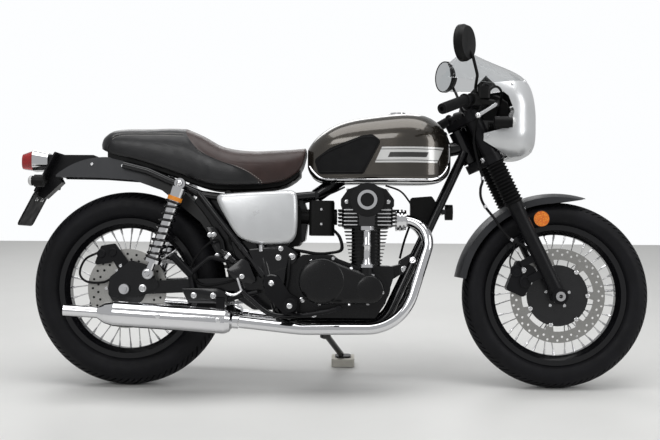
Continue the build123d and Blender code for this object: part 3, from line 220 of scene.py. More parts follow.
# Columns: name, colour, roughness, metal, grain cells a metre, grain depth in mm, colour drift, coat, shine
PLAIN_FINISHES = (
    ("gloss_black", (0.004, 0.004, 0.005), 0.20, 0.0, 500, 0.02, 0.25, 0.2, 0.3),
    ("satin_black", (0.006, 0.006, 0.007), 0.40, 0.0, 1400, 0.06, 0.25, 0.0, 0.15),
    ("engine_black", (0.005, 0.005, 0.0055), 0.28, 0.0, 1100, 0.06, 0.3, 0.1, 0.24),
    ("matt_grey", (0.028, 0.029, 0.032), 0.40, 0.1, 1500, 0.05, 0.18, 0.0, 0.35),
    ("black_plastic", (0.006, 0.006, 0.006), 0.45, 0.0, 1800, 0.06, 0.25, 0.0, 0.13),
    ("black_rubber", (0.005, 0.005, 0.0055), 0.6, 0.0, 1300, 0.1, 0.3, 0.0, 0.14),
    ("satin_silver", (0.62, 0.63, 0.64), 0.32, 0.45, 2600, 0.01, 0.04, 0.3, 0.5),
    ("bright_alloy", (0.76, 0.76, 0.77), 0.24, 1.0, 1600, 0.02, 0.06, 0.0, 0.5),
    ("steel", (0.58, 0.58, 0.59), 0.28, 1.0, 1500, 0.02, 0.08, 0.0, 0.5),
    ("thread", (0.42, 0.40, 0.37), 0.8, 0.0, 3000, 0.1, 0.1, 0.0, 0.5),
    ("orange_band", (0.80, 0.27, 0.02), 0.45, 0.0, 800, 0.03, 0.12, 0.0, 0.5),
    ("dial_face", (0.015, 0.015, 0.016), 0.55, 0.0, 1500, 0.02, 0.2, 0.0, 0.5),
    ("dial_marks", (0.78, 0.77, 0.72), 0.6, 0.0, 1500, 0.02, 0.05, 0.0, 0.5),
    ("dial_needle", (0.62, 0.03, 0.02), 0.5, 0.0, 1500, 0.02, 0.1, 0.0, 0.5),
    ("pale_block", (0.62, 0.60, 0.54), 0.8, 0.0, 400, 0.4, 0.2, 0.0, 0.4),
)
for row in PLAIN_FINISHES:
    plain_finish(*row)


def chrome():
    """Polished plate with faint wipe marks."""
    made = Finish("chrome", (0.70, 0.70, 0.715), 0.05, 1.0)
    made.feed("Roughness", made.spread(made.noise(14.0, 8.0, 0.6, (1, 4, 4)), 0.025, 0.11))
    made.grain(60.0, 0.05, 0.05, 2.0)


def disc_steel(wheel):
    """Ground disc face: fine rings about the axle."""
    made = Finish(wheel + "_disc_steel", (0.36, 0.35, 0.34), 0.34, 1.0)
    rings = made.node("ShaderNodeTexNoise", [("W", made.reach(wheel)), ("Scale", 2600.0), ("Detail", 3.0)],
                      noise_dimensions="1D").outputs["Fac"]
    made.feed("Base Color", made.mix(made.spread(rings, 0, 1), (0.27, 0.265, 0.25), (0.44, 0.435, 0.42)))
    made.feed("Roughness", made.spread(rings, 0.26, 0.44))
    made.relief(rings, 0.25, 0.03)


def leather(name, colour, rough):
    """Upholstery with a pebbled grain and soft creases."""
    made = Finish(name, colour, rough, 0.0, Sheen_Weight=0.05, Sheen_Roughness=0.4, Specular_IOR_Level=0.4)
    made.mottle(16.0, 0.28)
    made.wear(30.0, 0.09)
    grain = made.cells(620.0, "SMOOTH_F1")
    creases = made.noise(34.0, 5.0, 0.6)
    height = made.math("ADD", made.math("MULTIPLY", grain, 0.8), made.math("MULTIPLY", creases, 0.9))
    made.relief(height, 0.4, 0.45)


def tyre_rubber():
    """Clean tyre: dark and matt, with a fine grain."""
    made = Finish("tyre_rubber", (0.006, 0.006, 0.007), 0.55, Specular_IOR_Level=0.14)
    made.mottle(12.0, 0.25, (0.009, 0.009, 0.011))
    made.wear(40.0, 0.12)
    made.grain(900.0, 0.4, 0.15, 4.0, 0.7)


# Tank paint: dark metallic bronze, black below, a pale panel with thin lines and a dark bar on each side
TANK_BLACK = 707.5
BAND_LOW = 764.0
BAND_HIGH = 817.0
BAND_REAR = 842.0
BAND_FRONT = 1052.0
BAND_SLANT = 0.45
BAND_EDGE = 4.5
BAND_SOFT = 0.4
# Lines and bar on the panel. Columns: lower edge, upper edge, rear end, front end
BAND_LINES = (
    (BAND_HIGH - 2 * BAND_EDGE, BAND_HIGH - 1.4 * BAND_EDGE, BAND_REAR, BAND_FRONT),
    (BAND_LOW + 1.4 * BAND_EDGE, BAND_LOW + 2 * BAND_EDGE, BAND_REAR, BAND_FRONT),
    (BAND_LOW + 18.0, BAND_HIGH - 18.0, BAND_REAR + 35.0, BAND_FRONT - 45.0),
)


def tank_paint():
    """Bronze with fine flakes, and the panel laid over it."""
    made = Finish("tank_paint", (0.085, 0.075, 0.062), 0.24, 0.8, Coat_Weight=0.9, Coat_Roughness=0.04)
    x, _, z = made.axes()
    flakes = made.spread(made.cells(2600.0), 0, 1, 0.1, 0.6)
    bronze = made.mix(flakes, (0.085, 0.074, 0.060), (0.045, 0.039, 0.032))
    painted = made.mix(made.past(z, TANK_BLACK, 2.0), (0.01, 0.01, 0.01), bronze)
    lean = made.math("MULTIPLY", made.math("SUBTRACT", z, BAND_LOW * MM), BAND_SLANT)
    along_band = made.math("SUBTRACT", x, lean)

    def field(low, high, rear, front):
        return made.math("MULTIPLY", made.between(z, low, high, BAND_SOFT),
                         made.between(along_band, rear, front, BAND_SOFT))

    panel = field(BAND_LOW, BAND_HIGH, BAND_REAR, BAND_FRONT)
    painted = made.mix(panel, painted, (0.62, 0.62, 0.61))
    for line in BAND_LINES:
        painted = made.mix(field(*line), painted, (0.018, 0.017, 0.016))
    made.feed("Base Color", painted)
    made.feed("Metallic", made.spread(panel, 0.8, 0.15, 0.0, 1.0))
    made.gloss(20.0, 0.17, 0.27, 5.0)
    made.grain(240.0, 0.06, 0.03, 2.0)


def lens(name, colour, rough, facets):
    """Moulded lens: clear tinted plastic with small prisms."""
    made = Finish(name, colour, rough, 0.0, Transmission_Weight=0.35, IOR=1.49, Coat_Weight=0.6)
    made.mottle(40.0, 0.18)
    made.relief(made.cells(facets), 0.7, 0.6)


def clear(name, colour, rough, ior):
    """Clear sheet, faintly uneven."""
    made = Finish(name, colour, rough, 0.0, Transmission_Weight=1.0, IOR=ior)
    made.gloss(30.0, rough * 0.6, rough * 1.8, 5.0)
    made.grain(18.0, 0.03, 0.05, 2.0)


def mirror_glass():
    """Silvered glass with faint smears."""
    made = Finish("mirror_glass", (0.8, 0.82, 0.83), 0.03, 1.0)
    made.gloss(25.0, 0.015, 0.06, 6.0)


# Reach of the hubs' flanges, and how far from the middle the spokes lie
FLANGE_R = 50.5
FLANGE_Y = 50.0
# Middle of the head, half length and half width of its fins, half its plain stretch, depth of a bright edge
HEAD_MID = 818.0
HEAD_LONG = 100.0
HEAD_WIDE = 138.0
HEAD_PLAIN = 34.0
FIN_EDGE = 0.6
# Middle of the cowl, which its walls face away from, and where the lamp's bezel starts
COWL_MID = (1255.0, 0.0, 930.0)
LAMP_BEZEL = 1350.0
# Where the rear guard's grey starts to turn to the black of painted shade ahead of the axle
GUARD_SHADE_START = 40.0


def spoked_hub(wheel):
    """Black hub and carriers with bright spokes, told apart by their distance from the axle."""
    made = Finish(wheel + "_hub", (0.5, 0.5, 0.5), 0.3, 1.0)
    _, y, _ = made.axes()
    inside = made.math("SUBTRACT", 1.0, made.past(made.apart(y, 0.0), FLANGE_Y))
    spokes = made.math("MULTIPLY", made.past(made.reach(wheel), FLANGE_R), inside)
    dull = made.drift(40.0, (0.46, 0.46, 0.46), (0.64, 0.64, 0.65))
    black = made.drift(20.0, (0.005, 0.005, 0.006), (0.009, 0.009, 0.010))
    made.bare(spokes, black, dull)
    made.gloss(50.0, 0.24, 0.38)
    made.grain(700.0, 0.2, 0.05)


def lined_silver():
    """Silver paint outside and plain black inside, told apart by which way the wall faces."""
    made = Finish("lined_silver", (0.62, 0.63, 0.64), 0.32, 0.45, Coat_Weight=0.3, Coat_Roughness=0.08)
    facing = made.node("ShaderNodeTexCoord").outputs["Normal"]
    place = made.node("ShaderNodeTexCoord").outputs["Object"]
    outward = made.node("ShaderNodeVectorMath", [(0, place), (1, at(*COWL_MID))], operation="SUBTRACT")
    same = made.node("ShaderNodeVectorMath", [(0, facing), (1, outward.outputs["Vector"])],
                     operation="DOT_PRODUCT")
    outside = made.spread(same.outputs["Value"], 0.0, 1.0, -0.004, 0.004)
    silver = made.drift(9.0, (0.59, 0.60, 0.61), (0.65, 0.66, 0.67))
    made.feed("Base Color", made.mix(outside, (0.008, 0.008, 0.008), silver))
    made.feed("Metallic", made.spread(outside, 0.0, 0.45, 0.0, 1.0))
    made.gloss(26.0, 0.26, 0.38)
    made.grain(2600.0, 0.3, 0.01)


def lamp_shell():
    """Black lamp body with a bright bezel and reflector at its front."""
    made = Finish("lamp_shell", (0.5, 0.5, 0.5), 0.2)
    x, _, _ = made.axes()
    bezel = made.past(x, LAMP_BEZEL, 0.5)
    black = made.drift(12.0, (0.006, 0.006, 0.006), (0.010, 0.010, 0.010))
    made.bare(bezel, black, (0.82, 0.82, 0.83))
    made.gloss(30.0, 0.06, 0.16, 5.0)
    made.grain(300.0, 0.1, 0.05, 2.0)


def rear_guard():
    """Grey paint behind the axle, and black ahead of it as painted shade where the guard lies inside the
    frame.
    """
    made = Finish("rear_guard", (0.030, 0.031, 0.034), 0.42, 0.1, Specular_IOR_Level=0.4)
    x, _, _ = made.axes()
    grey = made.drift(9.0, (0.025, 0.026, 0.028), (0.035, 0.036, 0.040))
    # Painted shade: this black ahead of the axle stands for the shade inside the frame
    black = made.drift(9.0, (0.005, 0.005, 0.005), (0.008, 0.008, 0.008))
    made.feed("Base Color", made.mix(made.past(x, GUARD_SHADE_START, 50.0), grey, black))
    made.wear(26.0, 0.09)
    made.grain(1500.0, 0.35, 0.05)


def reflector_amber():
    """Moulded reflector with fine prisms."""
    made = Finish("reflector_amber", (0.90, 0.25, 0.008), 0.16, 0.0, Coat_Weight=0.7, Coat_Roughness=0.05)
    prisms = made.cells(210.0)
    made.feed("Base Color", made.mix(made.spread(prisms, 0, 1, 0.1, 0.6), (1.0, 0.36, 0.02),
                                     (0.72, 0.15, 0.004)))
    made.relief(prisms, 0.6, 0.5)


def finned_head():
    """Black casting whose fin edges are machined bright."""
    made = Finish("finned_head", (0.02, 0.02, 0.02), 0.4)
    x, y, _ = made.axes()
    ends = made.past(made.apart(x, HEAD_MID), HEAD_LONG - FIN_EDGE)
    sides = made.past(made.apart(y, 0.0), HEAD_WIDE - FIN_EDGE)
    clear_of_tower = made.past(made.apart(x, HEAD_MID), HEAD_PLAIN)
    bright = made.math("MULTIPLY", made.math("MAXIMUM", ends, sides), clear_of_tower)
    cast = made.noise(900.0, 4.0)
    black = made.mix(made.spread(cast, 0, 1), (0.005, 0.005, 0.006), (0.010, 0.010, 0.011))
    made.bare(bright, black, (0.68, 0.68, 0.69))
    made.feed("Roughness", made.spread(cast, 0.30, 0.48))
    made.relief(cast, 0.3, 0.1)


for finish in (chrome, tyre_rubber, tank_paint, mirror_glass, finned_head, rear_guard, reflector_amber,
               lined_silver, lamp_shell):
    finish()
for wheel in WHEELS:
    disc_steel(wheel)
    spoked_hub(wheel)
leather("seat_black", (0.007, 0.007, 0.008), 0.36)
leather("seat_brown", (0.026, 0.012, 0.010), 0.42)
lens("red_lens", (0.42, 0.003, 0.005), 0.08, 420.0)
lens("clear_lens", (0.85, 0.86, 0.86), 0.06, 380.0)
clear("lamp_glass", (0.97, 0.98, 0.98), 0.02, 1.5)
clear("screen_clear", (0.97, 0.98, 0.985), 0.012, 1.1)

# Finish of each node of the frame that stays in view
NODE_FINISHES = {
    "gloss_black": ("frame", "swingarm", "front_rim", "rear_rim", "side_stand"),
    "lamp_shell": ("headlamp",),
    "lined_silver": ("cowl",),
    "satin_black": ("fork_sliders", "fork_uppers", "rear_caliper", "front_caliper", "lower_yoke",
                    "top_bridge", "handlebar", "tail_bracket", "pillion_footrests", "foot_controls"),
    "engine_black": ("crankcase", "cylinder_barrel", "valve_cover", "engine_covers"),
    "finned_head": ("cylinder_head",),
    "matt_grey": ("front_fender",),
    "rear_guard": ("rear_fender",),
    "black_plastic": ("intake", "front_electrics", "instruments", "hand_controls", "mirrors",
                      "rear_indicators", "front_indicators"),
    "black_rubber": ("knee_pads", "grips", "fork_gaiters"),
    "chrome": ("bevel_drive", "fuel_cap", "tail_lamp", "shock_dampers", "exhaust_headers", "mufflers"),
    "bright_alloy": ("hand_levers",),
    "steel": ("rear_axle", "front_axle"),
    "front_disc_steel": ("front_disc",),
    "rear_disc_steel": ("rear_disc",),
    "front_hub": ("front_hub",),
    "rear_hub": ("rear_hub",),
    "tank_paint": ("fuel_tank",),
    "red_lens": ("tail_lens",),
    "reflector_amber": ("reflectors",),
    "lamp_glass": ("headlamp_lens",),
    "screen_clear": ("windscreen",),
    "pale_block": ("stand_pad",),
}
SMOOTH_ANGLE = radians(32)
for finish, nodes in NODE_FINISHES.items():
    for node in nodes:
        mesh = frame["nodes"][node].data
        mesh.materials.clear()
        mesh.materials.append(FINISHES[finish].material)


def arc(first, middle, last, steps):
    """Points on the arc through three points of a plane."""
    (ax, ay), (bx, by), (cx, cy) = first, middle, last
    turn = 2 * (ax * (by - cy) + bx * (cy - ay) + cx * (ay - by))
    a2, b2, c2 = ax * ax + ay * ay, bx * bx + by * by, cx * cx + cy * cy
    mx = (a2 * (by - cy) + b2 * (cy - ay) + c2 * (ay - by)) / turn
    my = (a2 * (cx - bx) + b2 * (ax - cx) + c2 * (bx - ax)) / turn
    reach = sqrt((ax - mx) ** 2 + (ay - my) ** 2)
    start, mid, end = (atan2(y - my, x - mx) for x, y in (first, middle, last))
    sweep = (end - start) % (2 * pi)
    if (mid - start) % (2 * pi) > sweep:
        sweep -= 2 * pi
    return [(mx + reach * cos(start + sweep * step / steps), my + reach * sin(start + sweep * step / steps))
            for step in range(steps + 1)]


def along(table, x):
    """Smooth value at x through a table of (x, value) pairs."""
    if x <= table[0][0]:
        return table[0][1]
    for index in range(len(table) - 1):
        (x0, v0), (x1, v1) = table[index], table[index + 1]
        if x <= x1:
            before = table[max(index - 1, 0)]
            after = table[min(index + 2, len(table) - 1)]
            slope0 = (v1 - before[1]) / (x1 - before[0]) * (x1 - x0)
            slope1 = (after[1] - v0) / (after[0] - x0) * (x1 - x0)
            t = (x - x0) / (x1 - x0)
            return ((2 * t ** 3 - 3 * t ** 2 + 1) * v0 + (t ** 3 - 2 * t ** 2 + t) * slope0
                    + (3 * t ** 2 - 2 * t ** 3) * v1 + (t ** 3 - t ** 2) * slope1)
    return table[-1][1]


def smooth_route(points, steps):
    """Points on a smooth curve through the given ones."""
    points = [Vector(point) for point in points]
    route = []
    for index in range(len(points) - 1):
        p1, p2 = points[index], points[index + 1]
        p0 = points[index - 1] if index else p1 * 2 - p2
        p3 = points[index + 2] if index + 2 < len(points) else p2 * 2 - p1
        for step in range(steps):
            t = step / steps
            route.append(0.5 * (2 * p1 + (p2 - p0) * t + (2 * p0 - 5 * p1 + 4 * p2 - p3) * t ** 2
                                + (3 * p1 - p0 - 3 * p2 + p3) * t ** 3))
    return route + [points[-1]]


class Shape:
    """A mesh in the making, in millimetres on the upright machine."""

    def __init__(self):
        self.mesh = bmesh.new()

    def grid(self, rows, ring=False):
        """Skin over rows of points that each close on themselves. ring joins the last row to the first."""
        made = [[self.mesh.verts.new(point) for point in row] for row in rows]
        for index in range(len(made) if ring else len(made) - 1):
            this, after = made[index], made[(index + 1) % len(made)]
            for column in range(len(this)):
                beside = (column + 1) % len(this)
                self.mesh.faces.new((this[column], this[beside], after[beside], after[column]))
        return made

    def solid(self, rows):
        """Skin over rows with a face on each end."""
        made = self.grid(rows)
        self.mesh.faces.new(made[0])
        self.mesh.faces.new(made[-1])

    def lathe(self, origin, axis, profile, steps=32):
        """Turned form. Profile columns: distance along the axis, radius."""
        axis = Vector(axis).normalized()
        side = axis.orthogonal().normalized()
        across = axis.cross(side)
        turns = [2 * pi * step / steps for step in range(steps)]
        rows = []
        for distance, radius in profile:
            middle = Vector(origin) + axis * distance
            rows.append([middle + (side * cos(turn) + across * sin(turn)) * radius for turn in turns])
        made = self.grid(rows)
        for row, (_, radius) in ((made[0], profile[0]), (made[-1], profile[-1])):
            if radius > 0.01:
                self.mesh.faces.new(row)

    def tube(self, points, radius, sides=10, closed=False):
        """Round bar along points."""
        points = [Vector(point) for point in points]
        count = len(points)
        turns = [2 * pi * step / sides for step in range(sides)]
        normal = None
        rows = []
        for index, point in enumerate(points):
            if closed:
                run = points[(index + 1) % count] - points[index - 1]
            else:
                run = points[min(index + 1, count - 1)] - points[max(index - 1, 0)]
            run.normalize()
            normal = run.orthogonal() if normal is None else normal - run * normal.dot(run)
            normal.normalize()
            across = run.cross(normal)
            rows.append([point + (normal * cos(turn) + across * sin(turn)) * radius for turn in turns])
        if closed:
            self.grid(rows, ring=True)
        else:
            self.solid(rows)

    def hose(self, points, radius, sides=10, steps=8):
        """Round bar along a smooth curve through points."""
        self.tube(smooth_route(points, steps), radius, sides)

    def done(self, name, body, *finishes, slot=None, replaces=()):
        """The finished piece, riding on its body. Its slot argument is not used."""
        bmesh.ops.remove_doubles(self.mesh, verts=self.mesh.verts, dist=0.001)
        bmesh.ops.recalc_face_normals(self.mesh, faces=self.mesh.faces)
        self.mesh.transform(UPRIGHT @ Matrix.Scale(MM, 4))
        mesh = bpy.data.meshes.new(name)
        self.mesh.to_mesh(mesh)
        self.mesh.free()
        mesh.polygons.foreach_set("use_smooth", [True] * len(mesh.polygons))
        mesh.set_sharp_from_angle(angle=SMOOTH_ANGLE)
        for finish in finishes:
            mesh.materials.append(FINISHES[finish].material)
        piece = bpy.data.objects.new(name, mesh)
        bpy.context.scene.collection.objects.link(piece)
        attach(piece, body)
        if replaces:
            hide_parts(*replaces)
        return piece


# Skins of the nodes that trim lies on, and where a line from the side starts
FAR = 700.0
SKINS = {}


def on_side(node, x, z, side=-1):
    """Point and outward direction where a line across the machine meets a node from one side, if it does."""
    if node not in SKINS:
        mesh = frame["nodes"][node].data
        upright = UPRIGHT.inverted()
        SKINS[node] = BVHTree.FromPolygons([upright @ vertex.co / MM for vertex in mesh.vertices],
                                           [tuple(face.vertices) for face in mesh.polygons])
    point, normal, _, _ = SKINS[node].ray_cast(Vector((x, side * FAR, z)), Vector((0, -side, 0)))
    if point is None:
        return None
    return point, normal if normal.y * side > 0 else -normal


# Tyres: smooth sidewalls with rings, a crown cut by slanting grooves
TREAD_PERIODS = 44
TREAD_SLANT = 1.15
TREAD_DEPTH = 4.5
CROWN_SHARE = 0.87
RIM_BED_R = 231.3
RIM_LIP_R = 241.3
RIM_EDGE = 5.3
# Where columns lie across half the crown, and rows along one period, as shares
TREAD_COLUMNS = (0.0, 0.05, 0.08, 0.17, 0.20, 0.33, 0.47, 0.50, 0.62, 0.75, 0.86, 0.89, 1.0)
TREAD_ROWS = (0.0, 0.02, 0.15, 0.17, 0.34, 0.52, 0.54, 0.63, 0.65, 0.83)
# Grooves. Columns: first row, last row, inner end across the crown, outer end, share of the depth
TREAD_GROOVES = ((0.01, 0.16, 0.19, 0.88, 1.0), (0.53, 0.64, 0.485, 0.88, 0.8), (-1, 2, -1, 0.06, 0.9))
# Steps up the sidewall, and the raised rings near the rim and below the shoulder as step: height
WALL_STEPS = 14
WALL_RINGS = {3: 0.7, 4: 0.7, 10: 0.5}
SHOULDER_DROP = 0.215


def groove_depth(row_share, share):
    """Depth of the tread's grooves at a place, as a share of the whole depth."""
    return max((deep for first, last, inner, outer, deep in TREAD_GROOVES
                if first < row_share < last and inner < abs(share) < outer), default=0)


def tyre(wheel, width, rim_w):
    """Tyre with its tread, built ring by ring round the axle."""
    axle_x, tyre_r = WHEELS[wheel]
    half = width / 2
    bead = rim_w / 2 - RIM_EDGE
    shoulder = tyre_r - SHOULDER_DROP * width
    shoulder_y = CROWN_SHARE * half
    crown_r = (shoulder_y ** 2 + (tyre_r - shoulder) ** 2) / (2 * (tyre_r - shoulder))
    reach = asin(shoulder_y / crown_r)
    wall = arc((RIM_LIP_R, bead), ((RIM_LIP_R + shoulder) / 2, half), (shoulder, shoulder_y), WALL_STEPS)[:-1]
    wall = [(RIM_BED_R, bead)] + [(r, y + WALL_RINGS.get(index, 0)) for index, (r, y) in enumerate(wall)]
    shares = [-share for share in TREAD_COLUMNS[:0:-1]] + list(TREAD_COLUMNS)
    rows = []
    for period in range(TREAD_PERIODS):
        for row_share in TREAD_ROWS:
            # Columns: radius, y, how far out the slant of the grooves has gone
            section = [(r, -y, 1.0) for r, y in wall]
            for share in shares:
                lean = reach * share
                deep = crown_r - groove_depth(row_share, share) * TREAD_DEPTH
                section.append((tyre_r - crown_r + deep * cos(lean), deep * sin(lean), abs(share)))
            section += [(r, y, 1.0) for r, y in wall[::-1]]
            row = []
            for r, y, out in section:
                turn = 2 * pi * (period + row_share + TREAD_SLANT * out) / TREAD_PERIODS
                row.append((axle_x + r * cos(turn), y, tyre_r + r * sin(turn)))
            rows.append(row)
    shape = Shape()
    shape.grid(rows, ring=True)
    shape.done(wheel + "_tyre_treaded", wheel + "_wheel", "tyre_rubber", replaces=[wheel + "_tyre"])


tyre("front", 100.0, 66.0)
tyre("rear", 130.0, 84.0)

# Seat. Its top line, lower edge and half width along the machine
SEAT_TOP = ((-101, 826), (-92, 850), (-53, 876), (70, 882), (190, 882), (252, 859), (322, 822), (409, 808),
            (520, 811), (607, 818))
SEAT_LOW = ((-101, 812), (-59, 792), (41, 768), (156, 731), (246, 699), (301, 687), (420, 687), (524, 699),
            (570, 723), (593, 750), (607, 800))
SEAT_HALF = ((-101, 40), (-90, 72), (-55, 97), (80, 111), (195, 119), (250, 127), (330, 137), (420, 138),
             (520, 116), (607, 90))
# Border between the black hump and the brown front. Columns: height, x
SEAT_BORDER = ((695, 458), (702, 451), (727, 416), (749, 371), (768, 311), (795, 256), (828, 221), (865, 197),
               (890, 193))
# Piping round the hump's top. Columns: x, height
HUMP_SEAM = ((190, 857), (82, 860), (-23, 858), (-50, 848), (-66, 822), (-72, 803))
SEAT_ROUND = 0.62
SEAT_TUCK = 7.0
SEAT_REAR = -101.0
SEAT_FRONT = 607.0
SEAT_ROWS = 34
SEAT_BEHIND = 64
SEAT_AHEAD = 60
UNDER_STEPS = 8
UNDER_HOLLOW = 4.0
# How deep the cover is drawn in at the border and in the rows beside it
SEAM_PINCH = {0: 2.4, 1: 1.0, 2: 0.3}
# Soft unevenness of the cover. Columns: height, share of a noise cell in a millimetre
SEAT_FOLDS = ((0.7, 0.012), (0.35, 0.05))


def seat_point(x, share, side=1):
    """Point on the seat's cover: share 0 at the middle of its top, 1 at its lower edge."""
    half, low, high = along(SEAT_HALF, x), along(SEAT_LOW, x), along(SEAT_TOP, x)
    lean = share * pi / 2
    y = half * sin(lean) ** SEAT_ROUND - SEAT_TUCK * share ** 8
    z = low + (high - low) * max(cos(lean), 0.0) ** SEAT_ROUND
    return Vector((x, side * y, z))


def solve(low, high, wrong):
    """Value between low and high where wrong() changes sign from negative to positive."""
    for _ in range(40):
        middle = (low + high) / 2
        if wrong(middle) < 0:
            low = middle
        else:
            high = middle
    return (low + high) / 2


def border_x(share):
    """Where the border between the two leathers crosses a line along the seat."""
    return solve(150, 500, lambda x: x - along(SEAT_BORDER, seat_point(x, share).z))


def seat_at(x, z, side):
    """Point on the cover at a place seen from the side."""
    share = solve(0, 1, lambda s: z - seat_point(x, s).z)
    return seat_point(x, share, side)


def make_seat():
    """Soft seat cover in two leathers, drawn in along their border."""
    shape = Shape()
    shares = [1 - step / SEAT_ROWS for step in range(SEAT_ROWS)]
    sides = [(share, -1) for share in shares] + [(0.0, 1)] + [(share, 1) for share in shares[::-1]]
    columns = []
    for share, side in sides:
        border = border_x(share)
        places = [SEAT_REAR + (border - SEAT_REAR) * step / SEAT_BEHIND for step in range(SEAT_BEHIND)]
        places += [border + (SEAT_FRONT - border) * step / SEAT_AHEAD for step in range(SEAT_AHEAD + 1)]
        columns.append([seat_point(x, share, side) for x in places])
    # A slightly hollow underside closes the cover
    under = []
    for step in range(1, UNDER_STEPS):
        share = step / UNDER_STEPS
        rise = Vector((0, 0, UNDER_HOLLOW * sin(pi * share)))
        under.append([first.lerp(last, share) + rise for first, last in zip(columns[-1], columns[0])])
    rows = [[column[k] for column in columns + under] for k in range(len(columns[0]))]
    made = shape.grid(rows)
    brown = list(shape.mesh.faces)[SEAT_BEHIND * len(rows[0]):]
    shape.mesh.faces.new(made[0])
    brown.append(shape.mesh.faces.new(made[-1]))
    for face in brown:
        face.material_index = 1
    shape.mesh.normal_update()
    moves = []
    for index, row in enumerate(made):
        pinch = SEAM_PINCH.get(abs(index - SEAT_BEHIND), 0.0)
        for vertex in row[:len(columns)]:
            fold = sum(height * noise.noise(vertex.co * fine) for height, fine in SEAT_FOLDS)
            moves.append((vertex, vertex.normal * (fold - pinch)))
    for vertex, move in moves:
        vertex.co += move
    seat = shape.done("seat_cover", "chassis", "seat_black", "seat_brown", slot="seat_leather",
                      replaces=["seat"])
    seat.modifiers.new("soft", "SUBSURF").levels = 1
    seat.modifiers["soft"].render_levels = 1


make_seat()


def walk(points, gap):
    """Points evenly spaced along a line of points, about gap apart."""
    lengths = [0.0]
    for first, second in zip(points, points[1:]):
        lengths.append(lengths[-1] + (second - first).length)
    count = max(2, round(lengths[-1] / gap))
    spaced = []
    index = 0
    for step in range(count + 1):
        wanted = lengths[-1] * step / count
        while index < len(points) - 2 and lengths[index + 1] < wanted:
            index += 1
        share = (wanted - lengths[index]) / max(lengths[index + 1] - lengths[index], 1e-6)
        spaced.append(points[index].lerp(points[index + 1], share))
    return spaced


# Seat trim: a black pan between the rails, piping in the seams and a row of stitches on each side of them
PAN_HALF = 80.0
PAN_DROP = 17.0
PAN_RISE = 5.0
PAN_INSET = 10.0
PAN_BEVEL = (6.0, 5.0)
PAN_ENDS = (SEAT_REAR + 30, SEAT_FRONT - 20)
PAN_STEPS = 40
PIPING_R = 1.7
STITCH_R = 0.75
STITCH_GAP = 4.2
STITCH_OFF = 5.5
SEAM_STEPS = 60
# Points at the hump's rear end that have no stitches
HUMP_BARE = 14


def seat_trim():
    pan = Shape()
    rows = []
    for step in range(PAN_STEPS + 1):
        x = PAN_ENDS[0] + (PAN_ENDS[1] - PAN_ENDS[0]) * step / PAN_STEPS
        half = min(along(SEAT_HALF, x) - PAN_INSET, PAN_HALF)
        low = along(SEAT_LOW, x) - PAN_DROP
        right = [(x, -half, low + PAN_DROP + PAN_RISE), (x, -half, low + PAN_BEVEL[1]),
                 (x, PAN_BEVEL[0] - half, low)]
        rows.append(right + [(x, -y, z) for x, y, z in right[::-1]])
    pan.solid(rows)
    pan.done("seat_pan", "chassis", "black_plastic", replaces=["seat"])

    piping = Shape()
    thread = Shape()
    spread = [step / SEAM_STEPS for step in range(SEAM_STEPS + 1)]
    for side in BOTH:
        hump = smooth_route([seat_at(x, z, side) for x, z in HUMP_SEAM], 8)
        piping.tube([seat_point(border_x(share), share, side) for share in spread], PIPING_R, 8)
        piping.tube(hump, PIPING_R, 8)
        for off in (-STITCH_OFF, STITCH_OFF):
            row = walk([seat_point(border_x(share) + off, share, side) for share in spread], STITCH_GAP)
            row_hump = walk([seat_at(p.x, p.z + off * 0.8, side) for p in hump[:-HUMP_BARE]], STITCH_GAP)
            for stitched in (row, row_hump):
                for first, second in zip(stitched[::2], stitched[1::2]):
                    thread.tube((first, second), STITCH_R, 5)
    piping.done("seat_piping", "chassis", "seat_black", slot="seat_leather")
    thread.done("seat_stitches", "chassis", "thread", slot="seat_leather")


seat_trim()

# Polished strip along the tank's lower edge and up its front, and the raised border of the knee pads
STRIP_LOW = ((620, 752), (636, 731), (660, 712), (700, 708), (760, 707), (900, 707), (1010, 707), (1046, 711),
             (1070, 724), (1088, 750), (1096, 786), (1096, 830))
PAD_BORDER = ((650, 770), (658, 738), (668, 733), (790, 733), (801, 740), (845, 822), (850, 838), (838, 848),
              (806, 848), (790, 845), (700, 808), (660, 786))
STRIP_R = 4.4
BORDER_R = 2.2


def trim_line(node, places, steps, side):
    """Points on a node's side along a smooth curve through places (x, z)."""
    route = smooth_route([(x, 0, z) for x, z in places], steps)
    found = [on_side(node, point.x, point.z, side) for point in route]
    return [place[0] for place in found if place]


def tank_trim():
    strip, border = Shape(), Shape()
    for side in BOTH:
        strip.tube(trim_line("fuel_tank", STRIP_LOW, 6, side), STRIP_R, 10)
        loop = trim_line("knee_pads", PAD_BORDER + PAD_BORDER[:1], 5, side)[:-1]
        border.tube(loop, BORDER_R, 8, closed=True)
    strip.done("tank_trim", "chassis", "chrome")
    border.done("knee_pad_borders", "chassis", "black_rubber")


tank_trim()


def hex_bolt(shape, point, normal, radius):
    """Flanged hexagon head."""
    shape.lathe(point, normal, ((-2, radius * 1.4), (0.8, radius * 1.4), (1.2, radius * 1.25), (1.2, 0)), 20)
    shape.lathe(point + normal, normal, ((0, radius), (radius * 0.8, radius), (radius * 0.95, radius * 0.84),
                                         (radius * 0.95, 0)), 6)


def cap_screw(shape, point, normal, radius):
    """Cylinder head with a socket."""
    high = radius * 0.9
    shape.lathe(point, normal, ((-2, radius), (high * 0.85, radius), (high, radius * 0.88),
                                (high, radius * 0.55), (high * 0.35, radius * 0.5), (high * 0.35, 0)), 16)


def low_screw(shape, point, normal, radius):
    """Flat button with a small hole."""
    shape.lathe(point, normal, ((-2, radius), (0.8, radius), (1.4, radius * 0.85), (1.4, radius * 0.35),
                                (0.4, radius * 0.3), (0.4, 0)), 20)


